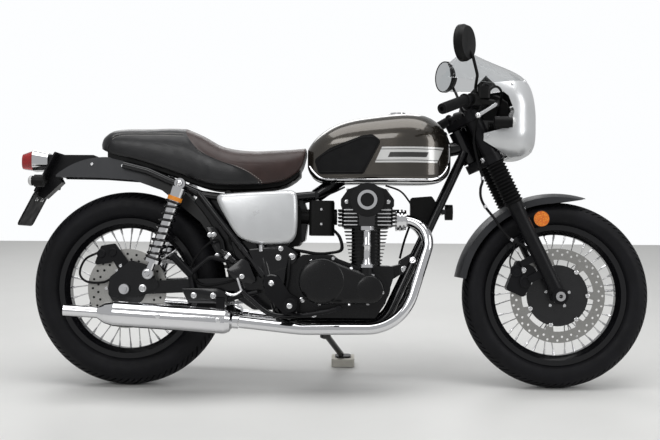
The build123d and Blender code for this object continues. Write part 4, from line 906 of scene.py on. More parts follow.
def dome_nut(shape, point, normal, radius):
    """Washer and rounded nut."""
    shape.lathe(point, normal, ((-1, radius * 1.35), (1.5, radius * 1.35), (1.5, 0)), 22)
    profile = [(1.5, radius)]
    profile += [(1.5 + radius * (0.35 + 0.75 * sin(step * pi / 10)), radius * cos(step * pi / 10) * 0.96)
                for step in range(5)]
    shape.lathe(point, normal, profile + [(1.5 + radius * 1.1, 0)], 22)


def wheel_point(wheel, radius, turn, y=0.0):
    """Point at a distance from a wheel's axle."""
    axle_x, axle_z = WHEELS[wheel]
    return Vector((axle_x + radius * cos(turn), y, axle_z + radius * sin(turn)))


def ring(wheel, radius, count, start=0.0):
    """Places (x, z) spaced evenly round an axle."""
    points = [wheel_point(wheel, radius, start + 2 * pi * step / count) for step in range(count)]
    return tuple((point.x, point.z) for point in points)


# Bolts on surfaces that face sideways. Columns: body, node, kind, head radius, sides, places (x, z)
BOLTS = (
    ("chassis", "engine_covers", cap_screw, 5.5, (-1,),
     ((631, 432), (704, 440), (764, 406), (836, 384), (867, 329), (820, 292), (758, 289), (660, 290))),
    ("chassis", "engine_covers", cap_screw, 5.5, (1,),
     ((826, 408), (890, 362), (887, 303), (826, 268), (765, 303), (762, 372))),
    ("chassis", "crankcase", hex_bolt, 6.5, BOTH, ((918, 300), (908, 262), (640, 250), (600, 300))),
    ("chassis", "frame", hex_bolt, 8.0, BOTH, ((945, 405), (972, 436))),
    ("chassis", "intake", cap_screw, 4.5, BOTH, ((662, 606), (662, 556))),
    ("chassis", "cylinder_head", cap_screw, 4.5, BOTH, ((790, 590), (844, 590))),
    ("chassis", "valve_cover", hex_bolt, 5.0, BOTH, ((748, 632), (888, 632))),
    ("chassis", "mufflers", hex_bolt, 6.5, BOTH, ((330, 236), (132, 249))),
    ("chassis", "swingarm", hex_bolt, 9.0, BOTH, ((60, 335),)),
    ("chassis", "rear_caliper", cap_screw, 6.0, (-1,), ((-60, 388), (-20, 410))),
    ("chassis", "rear_fender", cap_screw, 5.0, BOTH, ((-125, 757), (-20, 752))),
    ("chassis", "pillion_footrests", hex_bolt, 7.0, BOTH, ((239, 314), (304, 313))),
    ("chassis", "tail_bracket", cap_screw, 4.5, BOTH, ((-215, 735),)),
    ("steering", "front_caliper", hex_bolt, 7.0, (-1,), ((1378, 377), (1318, 430), (1345, 405))),
    ("steering", "front_fender", cap_screw, 5.0, BOTH, ((1352, 614),)),
    ("steering", "lower_yoke", hex_bolt, 7.5, BOTH, ((1216, 752), (1206, 775))),
    ("steering", "cowl", cap_screw, 5.5, BOTH, ((1222, 853), (1300, 1030), (1348, 1042))),
    ("front_wheel", "front_hub", cap_screw, 5.5, (-1,), ring("front", 41, 5, 0.3)),
    ("front_wheel", "front_disc", low_screw, 7.0, (-1,), ring("front", 102, 7)),
    ("rear_wheel", "rear_disc", cap_screw, 6.0, (-1,), ring("rear", 71, 6)),
    ("rear_wheel", "rear_hub", hex_bolt, 7.0, (1,), ring("rear", 60, 6)),
)
# Screws that stand upright on the valve cover
TOP_SCREW_R = 5.5
TOP_SCREWS = [Vector((x, y, 673)) for x in (752, 884) for y in (-70, 70)]


def bolts():
    shapes = {}
    for body, node, kind, radius, sides, places in BOLTS:
        for side in sides:
            for x, z in places:
                place = on_side(node, x, z, side)
                if place:
                    kind(shapes.setdefault(body, Shape()), *place, radius)
    for point in TOP_SCREWS:
        cap_screw(shapes["chassis"], point, Vector((0, 0, 1)), TOP_SCREW_R)
    for body, shape in shapes.items():
        shape.done(body + "_bolts", body, "bright_alloy")


bolts()

# Spoke nipples and a valve on each rim. Spokes leave the hub ahead of or behind their nipple
SPOKES = 36
SPOKE_LEAD = radians(28)
SPOKE_ROOT_R = 46
# Distance of the two rows of roots from the middle, for spokes that lead and that trail
SPOKE_ROOT_Y = (32, 38)
SPOKE_TIP_R = 205.5
SPOKE_TIP_Y = 9
NIPPLE = ((-2, 3.8), (11, 3.8), (12, 3.0), (19, 2.7), (20, 2.1), (20, 0))
VALVE = ((-2, 6), (3, 6), (3.5, 4), (24, 4), (24.5, 4.6), (34, 4.6), (35, 4), (35, 0))
VALVE_R = 207
VALVE_TURN = radians(5)
for wheel in WHEELS:
    nipples = Shape()
    for spoke in range(SPOKES):
        side = 1 if spoke % 2 else -1
        trails = spoke % 4 // 2
        lead = -SPOKE_LEAD if trails else SPOKE_LEAD
        turn = 2 * pi * spoke / SPOKES
        root = wheel_point(wheel, SPOKE_ROOT_R, turn + lead, side * SPOKE_ROOT_Y[trails])
        tip = wheel_point(wheel, SPOKE_TIP_R, turn, side * SPOKE_TIP_Y)
        nipples.lathe(tip, root - tip, NIPPLE, 8)
    stem = wheel_point(wheel, VALVE_R, VALVE_TURN)
    nipples.lathe(stem, wheel_point(wheel, 0, 0) - stem, VALVE, 12)
    nipples.done(wheel + "_wheel_nipples", wheel + "_wheel", "steel")


# Drive chain: plates, rollers and pins along the loop round both sprockets
CHAIN_Y = 80.0
CHAIN_PITCH = 15.875
PLATE_R = 6.8
REAR_COG = (0.0, REAR_TYRE_R, 98.5)
FRONT_COG = (592.0, 350.0, 38.0)
LINK_WAIST = 0.72
LINK_STEPS = 6
# Inner and outer face of the outer and inner plates, and profiles of a pin and a roller
LINK_FACES = ((6.7, 8.3), (4.9, 6.5))
PIN = ((-8.5, 0), (-8.5, 2.6), (8.5, 2.6), (8.5, 0))
ROLLER = ((-4.8, 2.7), (-4.8, 5.0), (4.8, 5.0), (4.8, 2.7))


def chain_points():
    """Pin places along the loop."""
    (rx, rz, rr), (fx, fz, fr) = REAR_COG, FRONT_COG
    base = atan2(fz - rz, fx - rx)
    apart = sqrt((fx - rx) ** 2 + (fz - rz) ** 2)
    wrap = pi / 2 - asin((rr - fr) / apart)
    line = []
    for (x, z, radius), start, sweep, steps in ((REAR_COG, base + wrap, 2 * pi - 2 * wrap, 60),
                                                (FRONT_COG, base - wrap, 2 * wrap, 30)):
        for step in range(steps + 1):
            turn = start + sweep * step / steps
            line.append(Vector((x + radius * cos(turn), CHAIN_Y, z + radius * sin(turn))))
    line.append(line[0])
    return walk(line, CHAIN_PITCH)[:-1]


def chain_links():
    pins = chain_points()
    links = Shape()
    for index, pin in enumerate(pins):
        after = pins[(index + 1) % len(pins)]
        run = (after - pin).normalized()
        rise = Vector((-run.z, 0, run.x))
        inner, outer = LINK_FACES[index % 2]
        outline = []
        for centre, start, waist in ((pin, pi / 2, -LINK_WAIST), (after, -pi / 2, LINK_WAIST)):
            for step in range(LINK_STEPS + 1):
                turn = start + step * pi / LINK_STEPS
                outline.append(centre + (run * cos(turn) + rise * sin(turn)) * PLATE_R)
            outline.append((pin + after) / 2 + rise * PLATE_R * waist)
        for side in BOTH:
            links.solid([[p + SIDEWAYS * side * y for p in outline] for y in (inner, outer)])
        links.lathe(pin, SIDEWAYS, PIN, 8)
        links.lathe(pin, SIDEWAYS, ROLLER, 12)
    links.done("chain_links", "chassis", "steel", replaces=["chain"])


chain_links()

# Shock absorbers: coil springs, a coloured band and domed nuts
SHOCK_LOW = Vector((84.0, 0.0, 385.0))
SHOCK_TOP = Vector((189.0, 0.0, 688.0))
SHOCK_Y = 150.0
SPRING_R = 25.0
SPRING_WIRE_R = 4.5
SPRING_TURNS = 10
SPRING_SPAN = (56.5, 254.2)
SPRING_STEPS = 24
# Part of a turn that lies flat on its seat at each end
SPRING_FLAT = 0.8
# Nut at the top and bolt at the foot. Columns: distance out from the shock's middle, radius
TOP_NUT = (14.0, 11.5)
FOOT_BOLT = (13.0, 10.0)
SHOCK_BAND = ((260.0, 23.5), (260.0, 24.6), (274.0, 24.6), (274.0, 23.5))


def shocks():
    springs, band, nuts = Shape(), Shape(), Shape()
    run = (SHOCK_TOP - SHOCK_LOW).normalized()
    across = run.cross(SIDEWAYS)
    start, end = SPRING_SPAN
    for side in BOTH:
        out = SIDEWAYS * side
        low = SHOCK_LOW + out * SHOCK_Y
        coil = []
        for step in range(SPRING_TURNS * SPRING_STEPS + 1):
            turns = step / SPRING_STEPS
            share = min(max((turns - SPRING_FLAT) / (SPRING_TURNS - 2 * SPRING_FLAT), 0.0), 1.0)
            way = SIDEWAYS * cos(2 * pi * turns) + across * sin(2 * pi * turns)
            coil.append(low + run * (start + (end - start) * share) + way * SPRING_R)
        springs.tube(coil, SPRING_WIRE_R, 10)
        band.lathe(low, run, SHOCK_BAND, 40)
        dome_nut(nuts, SHOCK_TOP + out * (SHOCK_Y + TOP_NUT[0]), out, TOP_NUT[1])
        hex_bolt(nuts, low + out * FOOT_BOLT[0], out, FOOT_BOLT[1])
    springs.done("coil_springs", "chassis", "gloss_black", slot="black_metal", replaces=["shock_springs"])
    band.done("shock_bands", "chassis", "orange_band", slot="amber_lens")
    nuts.done("shock_nuts", "chassis", "chrome")


shocks()

# Instruments: two dials with ticks and needles under glass
GAUGE_MID = Vector((1197, 0, 1034))
GAUGE_Y = 50.0
GAUGE_OUT = Vector((-0.75, 0, 0.66)).normalized()
GAUGE_RISE = GAUGE_OUT.cross(SIDEWAYS)
GAUGE_TICKS = 25
# Every fourth tick is long. Columns: inner end, radius
LONG_TICK = (27, 0.75)
SHORT_TICK = (31, 0.4)
TICK_END = 36
TICK_HIGH = 1.1
NEEDLE = (-8, 10, 30)
NEEDLE_R = 0.8
NEEDLE_HIGH = 2.2
GAUGE_SWEEP = radians(140)
DIAL = ((0.2, 38.8), (0.8, 38.6), (0.8, 14), (1.2, 13.6), (1.2, 0))
DIAL_HUB = ((1, 4.2), (2.8, 4.2), (3.2, 3.4), (3.2, 0))
DIAL_GLASS = ((3.6, 38.7), (4.2, 38), (4.6, 20), (4.7, 0))


def dial_line(middle, turn, high, reaches):
    """Points on a line out from a dial's middle."""
    out = GAUGE_RISE * cos(turn) + SIDEWAYS * sin(turn)
    return [middle + GAUGE_OUT * high + out * reach for reach in reaches]


def gauges():
    faces, marks, needles, glass = Shape(), Shape(), Shape(), Shape()
    for side in BOTH:
        middle = GAUGE_MID + SIDEWAYS * side * GAUGE_Y
        faces.lathe(middle, GAUGE_OUT, DIAL, 48)
        for tick in range(GAUGE_TICKS):
            turn = GAUGE_SWEEP * (2 * tick / (GAUGE_TICKS - 1) - 1)
            start, thick = SHORT_TICK if tick % 4 else LONG_TICK
            marks.tube(dial_line(middle, turn, TICK_HIGH, (start, TICK_END)), thick, 6)
        needles.tube(dial_line(middle, -GAUGE_SWEEP, NEEDLE_HIGH, NEEDLE), NEEDLE_R, 6)
        needles.lathe(middle, GAUGE_OUT, DIAL_HUB, 20)
        glass.lathe(middle, GAUGE_OUT, DIAL_GLASS, 48)
    faces.done("dial_faces", "steering", "dial_face", slot="black_plastic")
    marks.done("dial_marks", "steering", "dial_marks", slot="grey_plastic")
    needles.done("dial_needles", "steering", "dial_needle", slot="red_lens")
    glass.done("dial_glass", "steering", "screen_clear", slot="lamp_glass")


gauges()

# Mirrors: glass and a rounded rim
BAR_MID = Vector((1160, 0, 968))
MIRROR_PLACE = (-40, 382, 158)
MIRROR_AIM = (-0.87, -0.5, 0)
MIRROR_FACE = 12.0
MIRROR_GLASS = ((0, 55), (0.5, 54.6), (0.8, 50), (0.8, 0))
MIRROR_RIM = ((-1, 59.2), (1.6, 59), (2.2, 57.5), (1.6, 55.5), (-1, 55))


def mirrors():
    glass, rims = Shape(), Shape()
    for side in BOTH:
        facing = sided(MIRROR_AIM, side).normalized()
        middle = BAR_MID + sided(MIRROR_PLACE, side) + facing * MIRROR_FACE
        glass.lathe(middle, facing, MIRROR_GLASS, 56)
        rims.lathe(middle, facing, MIRROR_RIM, 56)
    glass.done("mirror_glass", "steering", "mirror_glass", slot="chrome")
    rims.done("mirror_rims", "steering", "black_plastic")


mirrors()

# Domed indicator lenses. Columns: body, place, way it faces
INDICATORS = (("steering", (1296, 190, 895), 1), ("chassis", (-322, 112, 697), -1))
DOME = ((-1, 17.3), (3, 17.2), (7, 15.6), (10, 12), (12, 7), (12.6, 0))
for body, place, way in INDICATORS:
    domes = Shape()
    for side in BOTH:
        domes.lathe(sided(place, side), (way, 0, 0), DOME, 32)
    domes.done(body + "_indicator_lenses", body, "clear_lens", slot="lamp_glass")


# Grips with ribs, lever ends and peg rubbers
RIB = ((-1.7, -0.6), (-1.1, 0.9), (1.1, 0.9), (1.7, -0.6))
# Ends of a grip and the end of its lever, from the middle of the bar
GRIP_ENDS = ((-23, 292, -10), (-113, 398, -54))
LEVER_END = (2, 386, -72)
LEVER_END_R = 9.0
GRIP_R = 17.0
GRIP_RIBS = 17
# Plain length at the two ends of a grip, and its collar
GRIP_PLAIN = (24, 10)
GRIP_COLLAR = ((14, 17), (14, 22), (17.5, 22), (19, 19.5), (19, 17))
PEG = (565.0, 176.0, 286.0)
PEG_R = 21.0
PEG_RIBS = 12
PEG_RIB_GAP = 7.4
PEG_LONG = 88.0
PEG_BOLT_R = 6.5


def rib(shape, middle, axis, radius):
    """One ring of a ribbed rubber."""
    shape.lathe(middle, axis, [(along_axis, radius + proud) for along_axis, proud in RIB], 28)


def grips_and_pegs():
    ribs, ends, pegs, caps = Shape(), Shape(), Shape(), Shape()
    ball = [(-LEVER_END_R * cos(step * pi / 10), LEVER_END_R * sin(step * pi / 10)) for step in range(11)]
    for side in BOTH:
        out = SIDEWAYS * side
        start, end = (BAR_MID + sided(place, side) for place in GRIP_ENDS)
        run = (end - start).normalized()
        ribbed = (end - start).length - sum(GRIP_PLAIN)
        for step in range(GRIP_RIBS):
            rib(ribs, start + run * (GRIP_PLAIN[0] + ribbed * step / (GRIP_RIBS - 1)), run, GRIP_R)
        ribs.lathe(start, run, GRIP_COLLAR, 32)
        ends.lathe(BAR_MID + sided(LEVER_END, side), run, ball, 20)
        peg = sided(PEG, side)
        for step in range(PEG_RIBS):
            rib(pegs, peg + out * PEG_RIB_GAP * step, out, PEG_R)
        hex_bolt(caps, peg + out * PEG_LONG, out, PEG_BOLT_R)
    ribs.done("grip_ribs", "steering", "black_rubber")
    ends.done("lever_ends", "steering", "bright_alloy")
    pegs.done("peg_ribs", "chassis", "black_rubber")
    caps.done("peg_bolts", "chassis", "bright_alloy")


grips_and_pegs()

# Front brake hose, held by its clips down the right fork leg, and a thin sensor lead beside it
HOSE = ((1212, -250, 985), (1196, -215, 955), (1180, -150, 900), (1176, -112, 840), (1190, -104, 770),
        (1206, -106, 713), (1199, -110, 680), (1200, -113, 648), (1214, -114, 618), (1247, -114, 576),
        (1271, -114, 539), (1304, -114, 507), (1340, -112, 490), (1362, -108, 474), (1376, -104, 452))
LEAD = ((1304, -114, 507), (1312, -113, 480), (1300, -111, 447), (1299, -109, 424), (1306, -106, 404))
HOSE_R = 4.5
LEAD_R = 2.6
# Points of the hose that have a clip
CLIPS = (5, 8, 11)
CLIP = ((-5, HOSE_R), (-5, HOSE_R + 1.6), (5, HOSE_R + 1.6), (5, HOSE_R))


def front_hose():
    hose, clips = Shape(), Shape()
    hose.hose(HOSE, HOSE_R, 12)
    hose.hose(LEAD, LEAD_R)
    for clip in CLIPS:
        run = Vector(HOSE[clip + 1]) - Vector(HOSE[clip - 1])
        clips.lathe(HOSE[clip], run, CLIP, 20)
    hose.done("front_brake_hose", "steering", "black_rubber")
    clips.done("hose_clips", "steering", "steel")


front_hose()

# Hoses and wiring about the engine and frame. Columns: radius, points
LINES = (
    (5.0, ((700, -70, 540), (724, -108, 512), (730, -118, 470), (690, -110, 458), (640, -104, 456),
           (590, -96, 464), (550, -80, 470))),
    (3.2, ((880, -60, 690), (930, -50, 672), (960, -34, 640), (975, -30, 612))),
    (3.2, ((740, -60, 684), (700, -75, 664), (640, -84, 640), (600, -84, 628))),
    (5.0, ((552, -84, 482), (558, -124, 462), (557, -150, 420), (555, -154, 374), (545, -152, 329),
           (517, -146, 284), (505, -128, 250))),
    (4.0, ((980, 30, 600), (970, 66, 560), (950, 80, 500), (935, 84, 440))),
    (5.0, ((700, 70, 540), (724, 108, 512), (730, 118, 470), (690, 110, 458), (640, 104, 456),
           (590, 90, 464), (550, 50, 470))),
    (4.0, ((-98, -86, 453), (-104, -92, 451), (-142, -92, 430), (-159, -92, 383), (-133, -92, 355),
           (-73, -92, 355), (-31, -92, 384), (-17, -86, 392))),
)


def hoses(name, body, lines):
    """One piece of several hoses."""
    shape = Shape()
    for radius, points in lines:
        shape.hose(points, radius)
    shape.done(name, body, "black_rubber")


hoses("engine_lines", "chassis", LINES)

# Bare plate carrier: a thin panel with a rolled edge under the tail lamp, and its two bolts
PLATE_TOP = Vector((-316.0, 0.0, 661.0))
PLATE_DOWN = Vector((-71.0, 0.0, -136.0)).normalized()
PLATE_LONG = 126.0
PLATE_HALF = 90.0
PLATE_CORNER = 14.0
PLATE_T = 3.0
PLATE_EDGE_R = 3.2
CORNER_STEPS = 6
# Its two bolts: down the panel, out from its middle, radius
PLATE_BOLT = (26, 35, 5.0)


def plate_carrier():
    panel, edge, screws = Shape(), Shape(), Shape()
    out = PLATE_DOWN.cross(SIDEWAYS)
    outline = []
    near, far = PLATE_CORNER, PLATE_LONG - PLATE_CORNER
    wide = PLATE_HALF - PLATE_CORNER
    for down, y, start in ((near, wide, 1.0), (far, wide, 0.5), (far, -wide, 0.0), (near, -wide, -0.5)):
        for step in range(CORNER_STEPS + 1):
            turn = pi * (start - step / CORNER_STEPS / 2)
            outline.append(PLATE_TOP + PLATE_DOWN * (down + PLATE_CORNER * cos(turn))
                           + SIDEWAYS * (y + PLATE_CORNER * sin(turn)))
    front = out * PLATE_T / 2
    panel.solid([[point + face for point in outline] for face in (-front, front)])
    edge.tube(outline, PLATE_EDGE_R, 8, closed=True)
    down, apart, radius = PLATE_BOLT
    for side in BOTH:
        hex_bolt(screws, PLATE_TOP + PLATE_DOWN * down + SIDEWAYS * side * apart + front, out, radius)
    panel.done("plate_carrier", "chassis", "black_rubber", slot="black_plastic")
    edge.done("plate_carrier_edge", "chassis", "black_plastic")
    screws.done("plate_carrier_bolts", "chassis", "bright_alloy")


plate_carrier()

# Side covers: crowned shells with a rolled edge. Outline as seen from the side
COVER_EDGE = ((322, 655), (389, 660), (468, 664), (546, 668), (570, 665), (580, 649), (583, 586), (580, 530),
              (568, 500), (542, 488), (453, 487), (396, 504), (368, 531), (340, 577), (320, 612), (310, 636),
              (313, 649))
COVER_MID = Vector((462, 0, 582))
COVER_BACK = 117.0
COVER_WALL = 122.0
COVER_ROLL = 14.0
COVER_CROWN = 14.0
# How far the crown falls to half its height, along the machine and up
COVER_LONG = 135.0
COVER_HIGH = 88.0
# Share of the way from the edge to the middle that the rolled edge takes, and the rings over the shell
COVER_ROLL_SHARE = 0.17
COVER_RINGS = (0.0, 0.006, 0.02, 0.045, 0.08, 0.12, 0.17, 0.25, 0.35, 0.5, 0.65, 0.8, 0.92, 1.0)


def side_shells():
    shells = Shape()
    edge = smooth_route([(x, 0, z) for x, z in COVER_EDGE + COVER_EDGE[:1]], 5)[:-1]
    for side in BOTH:
        rows = [[Vector((p.x, side * COVER_BACK, p.z)) for p in edge]]
        for share in COVER_RINGS:
            rolled = 1 - min(share / COVER_ROLL_SHARE, 1)
            wall = COVER_WALL + COVER_ROLL * sqrt(1 - rolled ** 2)
            row = []
            for p in edge:
                q = p.lerp(COVER_MID, share)
                fall = ((q.x - COVER_MID.x) / COVER_LONG) ** 2 + ((q.z - COVER_MID.z) / COVER_HIGH) ** 2
                row.append(Vector((q.x, side * (wall + COVER_CROWN * (1 - fall / 2)), q.z)))
            rows.append(row)
        made = shells.grid(rows)
        shells.mesh.faces.new(made[0])
    shells.done("side_shells", "chassis", "satin_silver", slot="silver_metal", replaces=["side_covers"])


side_shells()


def rounded(points, radius, steps=5):
    """Outline with its corners rounded."""
    points = [Vector(point) for point in points]
    outline = []
    for index, corner in enumerate(points):
        before, after = points[index - 1] - corner, points[(index + 1) % len(points)] - corner
        start = corner + before.normalized() * min(radius, before.length / 2)
        end = corner + after.normalized() * min(radius, after.length / 2)
        for step in range(steps + 1):
            share = step / steps
            outline.append(start.lerp(corner, share).lerp(corner.lerp(end, share), share))
    return outline


def slab(shape, points, inner, outer, radius, bevel=2.5):
    """Plate seen from the side, between two places across the machine, with rounded corners and edges."""
    outline = rounded([(x, 0, z) for x, z in points], radius)
    middle = sum(outline, Vector()) / len(outline)
    way = 1 if outer > inner else -1
    rows = []
    for y, pull in ((inner, bevel), (inner + way * bevel, 0), (outer - way * bevel, 0),
                    (outer - way * bevel * 0.3, bevel * 0.3), (outer, bevel)):
        rows.append([p + (middle - p).normalized() * pull + Vector((0, y, 0)) for p in outline])
    shape.solid(rows)


# Black parts under the seat and about the swing arm's pivot
# Columns: sides, outline (x, z), inner and outer distance from the middle, corner
PLATES = (
    ((1,), ((352, 350), (346, 398), (330, 450), (303, 508), (262, 566), (214, 612), (236, 650), (600, 640),
            (618, 590), (606, 500), (560, 476), (560, 262), (430, 262), (372, 300)), -58, 54, 6),
    ((1,), ((1068, 790), (1064, 850), (1076, 884), (1092, 876), (1104, 800)), -22, 22, 6),
    ((1,), ((352, 498), (556, 498), (560, 436), (520, 418), (420, 418), (372, 440)), -92, 60, 12),
    ((1,), ((420, 425), (545, 425), (545, 330), (505, 300), (470, 330), (440, 352)), -60, 60, 12),
    (BOTH, ((418, 470), (545, 484), (584, 458), (580, 428), (548, 410), (540, 350), (512, 322), (482, 330),
            (466, 372), (440, 420)), 126, 140, 10),
    ((-1,), ((345, 398), (400, 440), (420, 428), (446, 364), (430, 352), (372, 368)), 138, 150, 7),
    (BOTH, ((196, 337), (319, 338), (352, 322), (352, 296), (319, 286), (221, 287)), 150, 158, 8),
    ((-1,), ((270, 545), (300, 545), (330, 500), (345, 430), (325, 420), (290, 480)), 86, 98, 8),
)
# Bolts on them. Columns: x, z, y, head radius
PLATE_BOLTS = ((284, 517, -98, 6), (298, 518, -98, 6), (310, 447, -98, 6), (334, 440, -98, 5),
               (520, 442, -140, 7), (528, 472, -140, 6), (566, 446, -140, 8), (399, 378, -150, 6),
               (239, 314, -158, 7), (304, 313, -158, 7), (239, 314, 158, 7), (304, 313, 158, 7))
PIVOT = (498.0, 126.0, 356.0)
PIVOT_BOSS = ((0, 30), (22, 30), (26, 26), (26, 0))
# Inner mud flap ahead of the rear tyre
FLAP_R = 347.0
FLAP_HALF = 66.0
FLAP_T = 4.0
FLAP_STEPS = 12
FLAP_SPAN = (radians(3), radians(26))
# Rear brake: cylinder with its clamp, hose, pedal tube and linkage, and a bright tab. Places are (x, y, z)
CYLINDER = (Vector((327, -143, 464)), Vector((384, -143, 418)))
CYLINDER_PROFILE = ((0, 6), (0, 9), (14, 9), (14, 13), (18, 14), (40, 14), (44, 11), (58, 11), (60, 5),
                    (74, 5))
CLAMP_PROFILE = ((24, 14), (24, 15.5), (34, 15.5), (34, 14))
BRAKE_HOSE = ((330, -140, 470), (322, -136, 500), (296, -128, 496), (256, -122, 461), (226, -120, 410),
              (240, -122, 362), (282, -126, 346), (364, -130, 362), (410, -126, 380))
PEDAL_TUBE = ((399, -160, 329), (430, -158, 303), (488, -156, 258), (549, -152, 246), (600, -150, 250))
LINKAGE = (((347, -160, 322), (372, -160, 316), (399, -160, 329)), ((399, -160, 329), (384, -150, 372)))
TAB = ((461, -141, 484), (461, -141, 462))
BRAKE_HOSE_R = 4.2
PEDAL_TUBE_R = 9.0
LINKAGE_R = 4.5
TAB_R = 7.0
PIVOT_NUT_R = 12.0


def rear_details():
    plates, bright, hose = Shape(), Shape(), Shape()
    for sides, points, inner, outer, corner in PLATES:
        for side in sides:
            slab(plates, points, side * inner, side * outer, corner)
    for x, z, y, radius in PLATE_BOLTS:
        hex_bolt(bright, Vector((x, y, z)), SIDEWAYS if y > 0 else -SIDEWAYS, radius)
    for side in BOTH:
        out = SIDEWAYS * side
        plates.lathe(sided(PIVOT, side), out, PIVOT_BOSS, 36)
        dome_nut(bright, sided(PIVOT, side) + out * PIVOT_BOSS[-1][0], out, PIVOT_NUT_R)
    flap = []
    wide = SIDEWAYS * FLAP_HALF
    for step in range(FLAP_STEPS + 1):
        turn = FLAP_SPAN[0] + (FLAP_SPAN[1] - FLAP_SPAN[0]) * step / FLAP_STEPS
        near, far = (wheel_point("rear", radius, turn) for radius in (FLAP_R, FLAP_R + FLAP_T))
        flap.append([near - wide, near + wide, far + wide, far - wide])
    plates.solid(flap)
    start, end = CYLINDER
    plates.lathe(start, end - start, CYLINDER_PROFILE, 24)
    bright.lathe(start, end - start, CLAMP_PROFILE, 24)
    hose.hose(BRAKE_HOSE, BRAKE_HOSE_R)
    plates.hose(PEDAL_TUBE, PEDAL_TUBE_R, 14)
    for line in LINKAGE:
        bright.hose(line, LINKAGE_R, steps=6)
    bright.tube(TAB, TAB_R, 16)
    plates.done("rear_plates", "chassis", "gloss_black", slot="black_metal")
    bright.done("rear_bright_parts", "chassis", "bright_alloy")
    hose.done("rear_brake_hose", "chassis", "black_rubber")


rear_details()

# Wiring behind the headlamp: a black cover, seen from the side, and cables from the hand controls
LOOM_COVER = ((1208, 872), (1208, 1000), (1262, 1004), (1304, 972), (1304, 872))
LOOM_HALF = 58.0
LOOM_CORNER = 14.0
LOOM_BEVEL = 6.0
# Columns: radius, points
LOOM = (
    (4.2, ((1192, 238, 985), (1236, 214, 1012), (1266, 160, 1002), (1270, 96, 962), (1262, 50, 920))),
    (4.2, ((1192, -238, 985), (1236, -214, 1010), (1262, -160, 998), (1264, -96, 960), (1258, -50, 920))),
    (3.4, ((1180, 246, 990), (1216, 232, 1040), (1240, 150, 1052), (1236, 70, 1020), (1230, 40, 980))),
    (3.4, ((1176, -244, 988), (1200, -216, 1018), (1222, -150, 1014), (1230, -80, 985), (1228, -45, 950))),
    (3.0, ((1235, -58, 890), (1205, -92, 872), (1190, -96, 830), (1198, -88, 790))),
    (3.0, ((1235, 58, 890), (1205, 92, 872), (1190, 96, 830), (1198, 88, 790))),
)
loom_cover = Shape()
slab(loom_cover, LOOM_COVER, -LOOM_HALF, LOOM_HALF, LOOM_CORNER, LOOM_BEVEL)
loom_cover.done("loom_cover", "steering", "black_plastic")
hoses("steering_cables", "steering", LOOM)

# Turned details: rims of the reflectors, sleeve of the bevel drive's tower, crowns of the right engine cover
REFLECTOR = (1407.0, 92.0, 579.0)
REFLECTOR_RIM = ((-5, 26), (-5, 29), (2.2, 29), (3, 28), (3, 26.4), (1, 26))
TOWER = (816.0, -165.0, 0.0)
TOWER_SLEEVE = ((411, 21), (417, 21), (418, 17), (424, 16.5), (430, 13.6), (440, 12.6), (478, 12.2),
                (482, 14), (490, 14), (494, 12.2), (532, 12.6), (538, 17), (548, 17.5), (548, 11))
# Columns: x, z, radius, height of the crown
COVER_CROWNS = ((668.0, 365.0, 74.0, 7.0), (826.0, 338.0, 45.0, 5.0))
COVER_FACE = 187.5
# Round ends of the calipers' bores. Columns: body, node, x, z, scale
BORES = (("steering", "front_caliper", 1322, 402, 1.0), ("steering", "front_caliper", 1352, 366, 1.0),
         ("chassis", "rear_caliper", -87, 451, 0.7), ("chassis", "rear_caliper", -49, 456, 0.7))
BORE = ((-2, 21), (4, 21), (6.5, 18.5), (6.5, 14), (4.5, 13), (4.5, 0))
# Holes of the rear disc, shown as dark dots of painted shade on both of its faces. Columns: radius of the
# row, start
HOLES = 24
HOLE_ROWS = ((118.0, 0.0), (100.0, pi / HOLES))
DISC_FACES = ((-73.0, -1), (-68.0, 1))
HOLE = ((-0.5, 4.2), (0.3, 4.2), (0.3, 0))


def turned_details():
    rims, sleeve, crowns, bores, holes = Shape(), Shape(), Shape(), {}, Shape()
    for side in BOTH:
        rims.lathe(sided(REFLECTOR, side), SIDEWAYS * side, REFLECTOR_RIM, 40)
    sleeve.lathe(TOWER, (0, 0, 1), TOWER_SLEEVE, 32)
    for x, z, radius, high in COVER_CROWNS:
        profile = [(high * sin(step * pi / 16), radius * cos(step * pi / 16)) for step in range(9)]
        crowns.lathe((x, -COVER_FACE, z), (0, -1, 0), profile, 56)
    for body, node, x, z, scale in BORES:
        place = on_side(node, x, z)
        if place:
            profile = [(high * scale, radius * scale) for high, radius in BORE]
            bores.setdefault(body, Shape()).lathe(place[0], (0, -1, 0), profile, 32)
    for radius, start in HOLE_ROWS:
        for x, z in ring("rear", radius, HOLES, start):
            for y, way in DISC_FACES:
                holes.lathe((x, y, z), (0, way, 0), HOLE, 12)
    rims.done("reflector_rims", "steering", "black_plastic")
    sleeve.done("tower_sleeve", "chassis", "chrome")
    crowns.done("engine_cover_crowns", "chassis", "engine_black")
    for body, shape in bores.items():
        shape.done(body + "_caliper_bores", body, "satin_black", slot="black_metal")
    # The dark dots are painted shade standing in for the holes through the disc
    holes.done("rear_disc_hole_shade", "rear_wheel", "black_rubber", slot="black_metal")


turned_details()

# Studio, in metres of the row: a pale floor in a white surround, with soft lights
FLOOR_HALF = 3.4
FLOOR_CORNERS = ((-1, -1), (1, -1), (1, 1), (-1, 1))
studio_floor = Finish("studio_floor", (0.74, 0.74, 0.725), 0.5)
studio_floor.mottle(1.6, 0.03)
studio_floor.wear(3.0, 0.08)
studio_floor.grain(120.0, 0.1, 0.2, 4.0)
floor_mesh = bpy.data.meshes.new("studio_floor")
floor_mesh.from_pydata([(x * FLOOR_HALF, y * FLOOR_HALF, 0) for x, y in FLOOR_CORNERS], [], [(0, 1, 2, 3)])
floor_mesh.materials.append(studio_floor.material)
floor = bpy.data.objects.new("studio_floor", floor_mesh)
bpy.context.scene.collection.objects.link(floor)

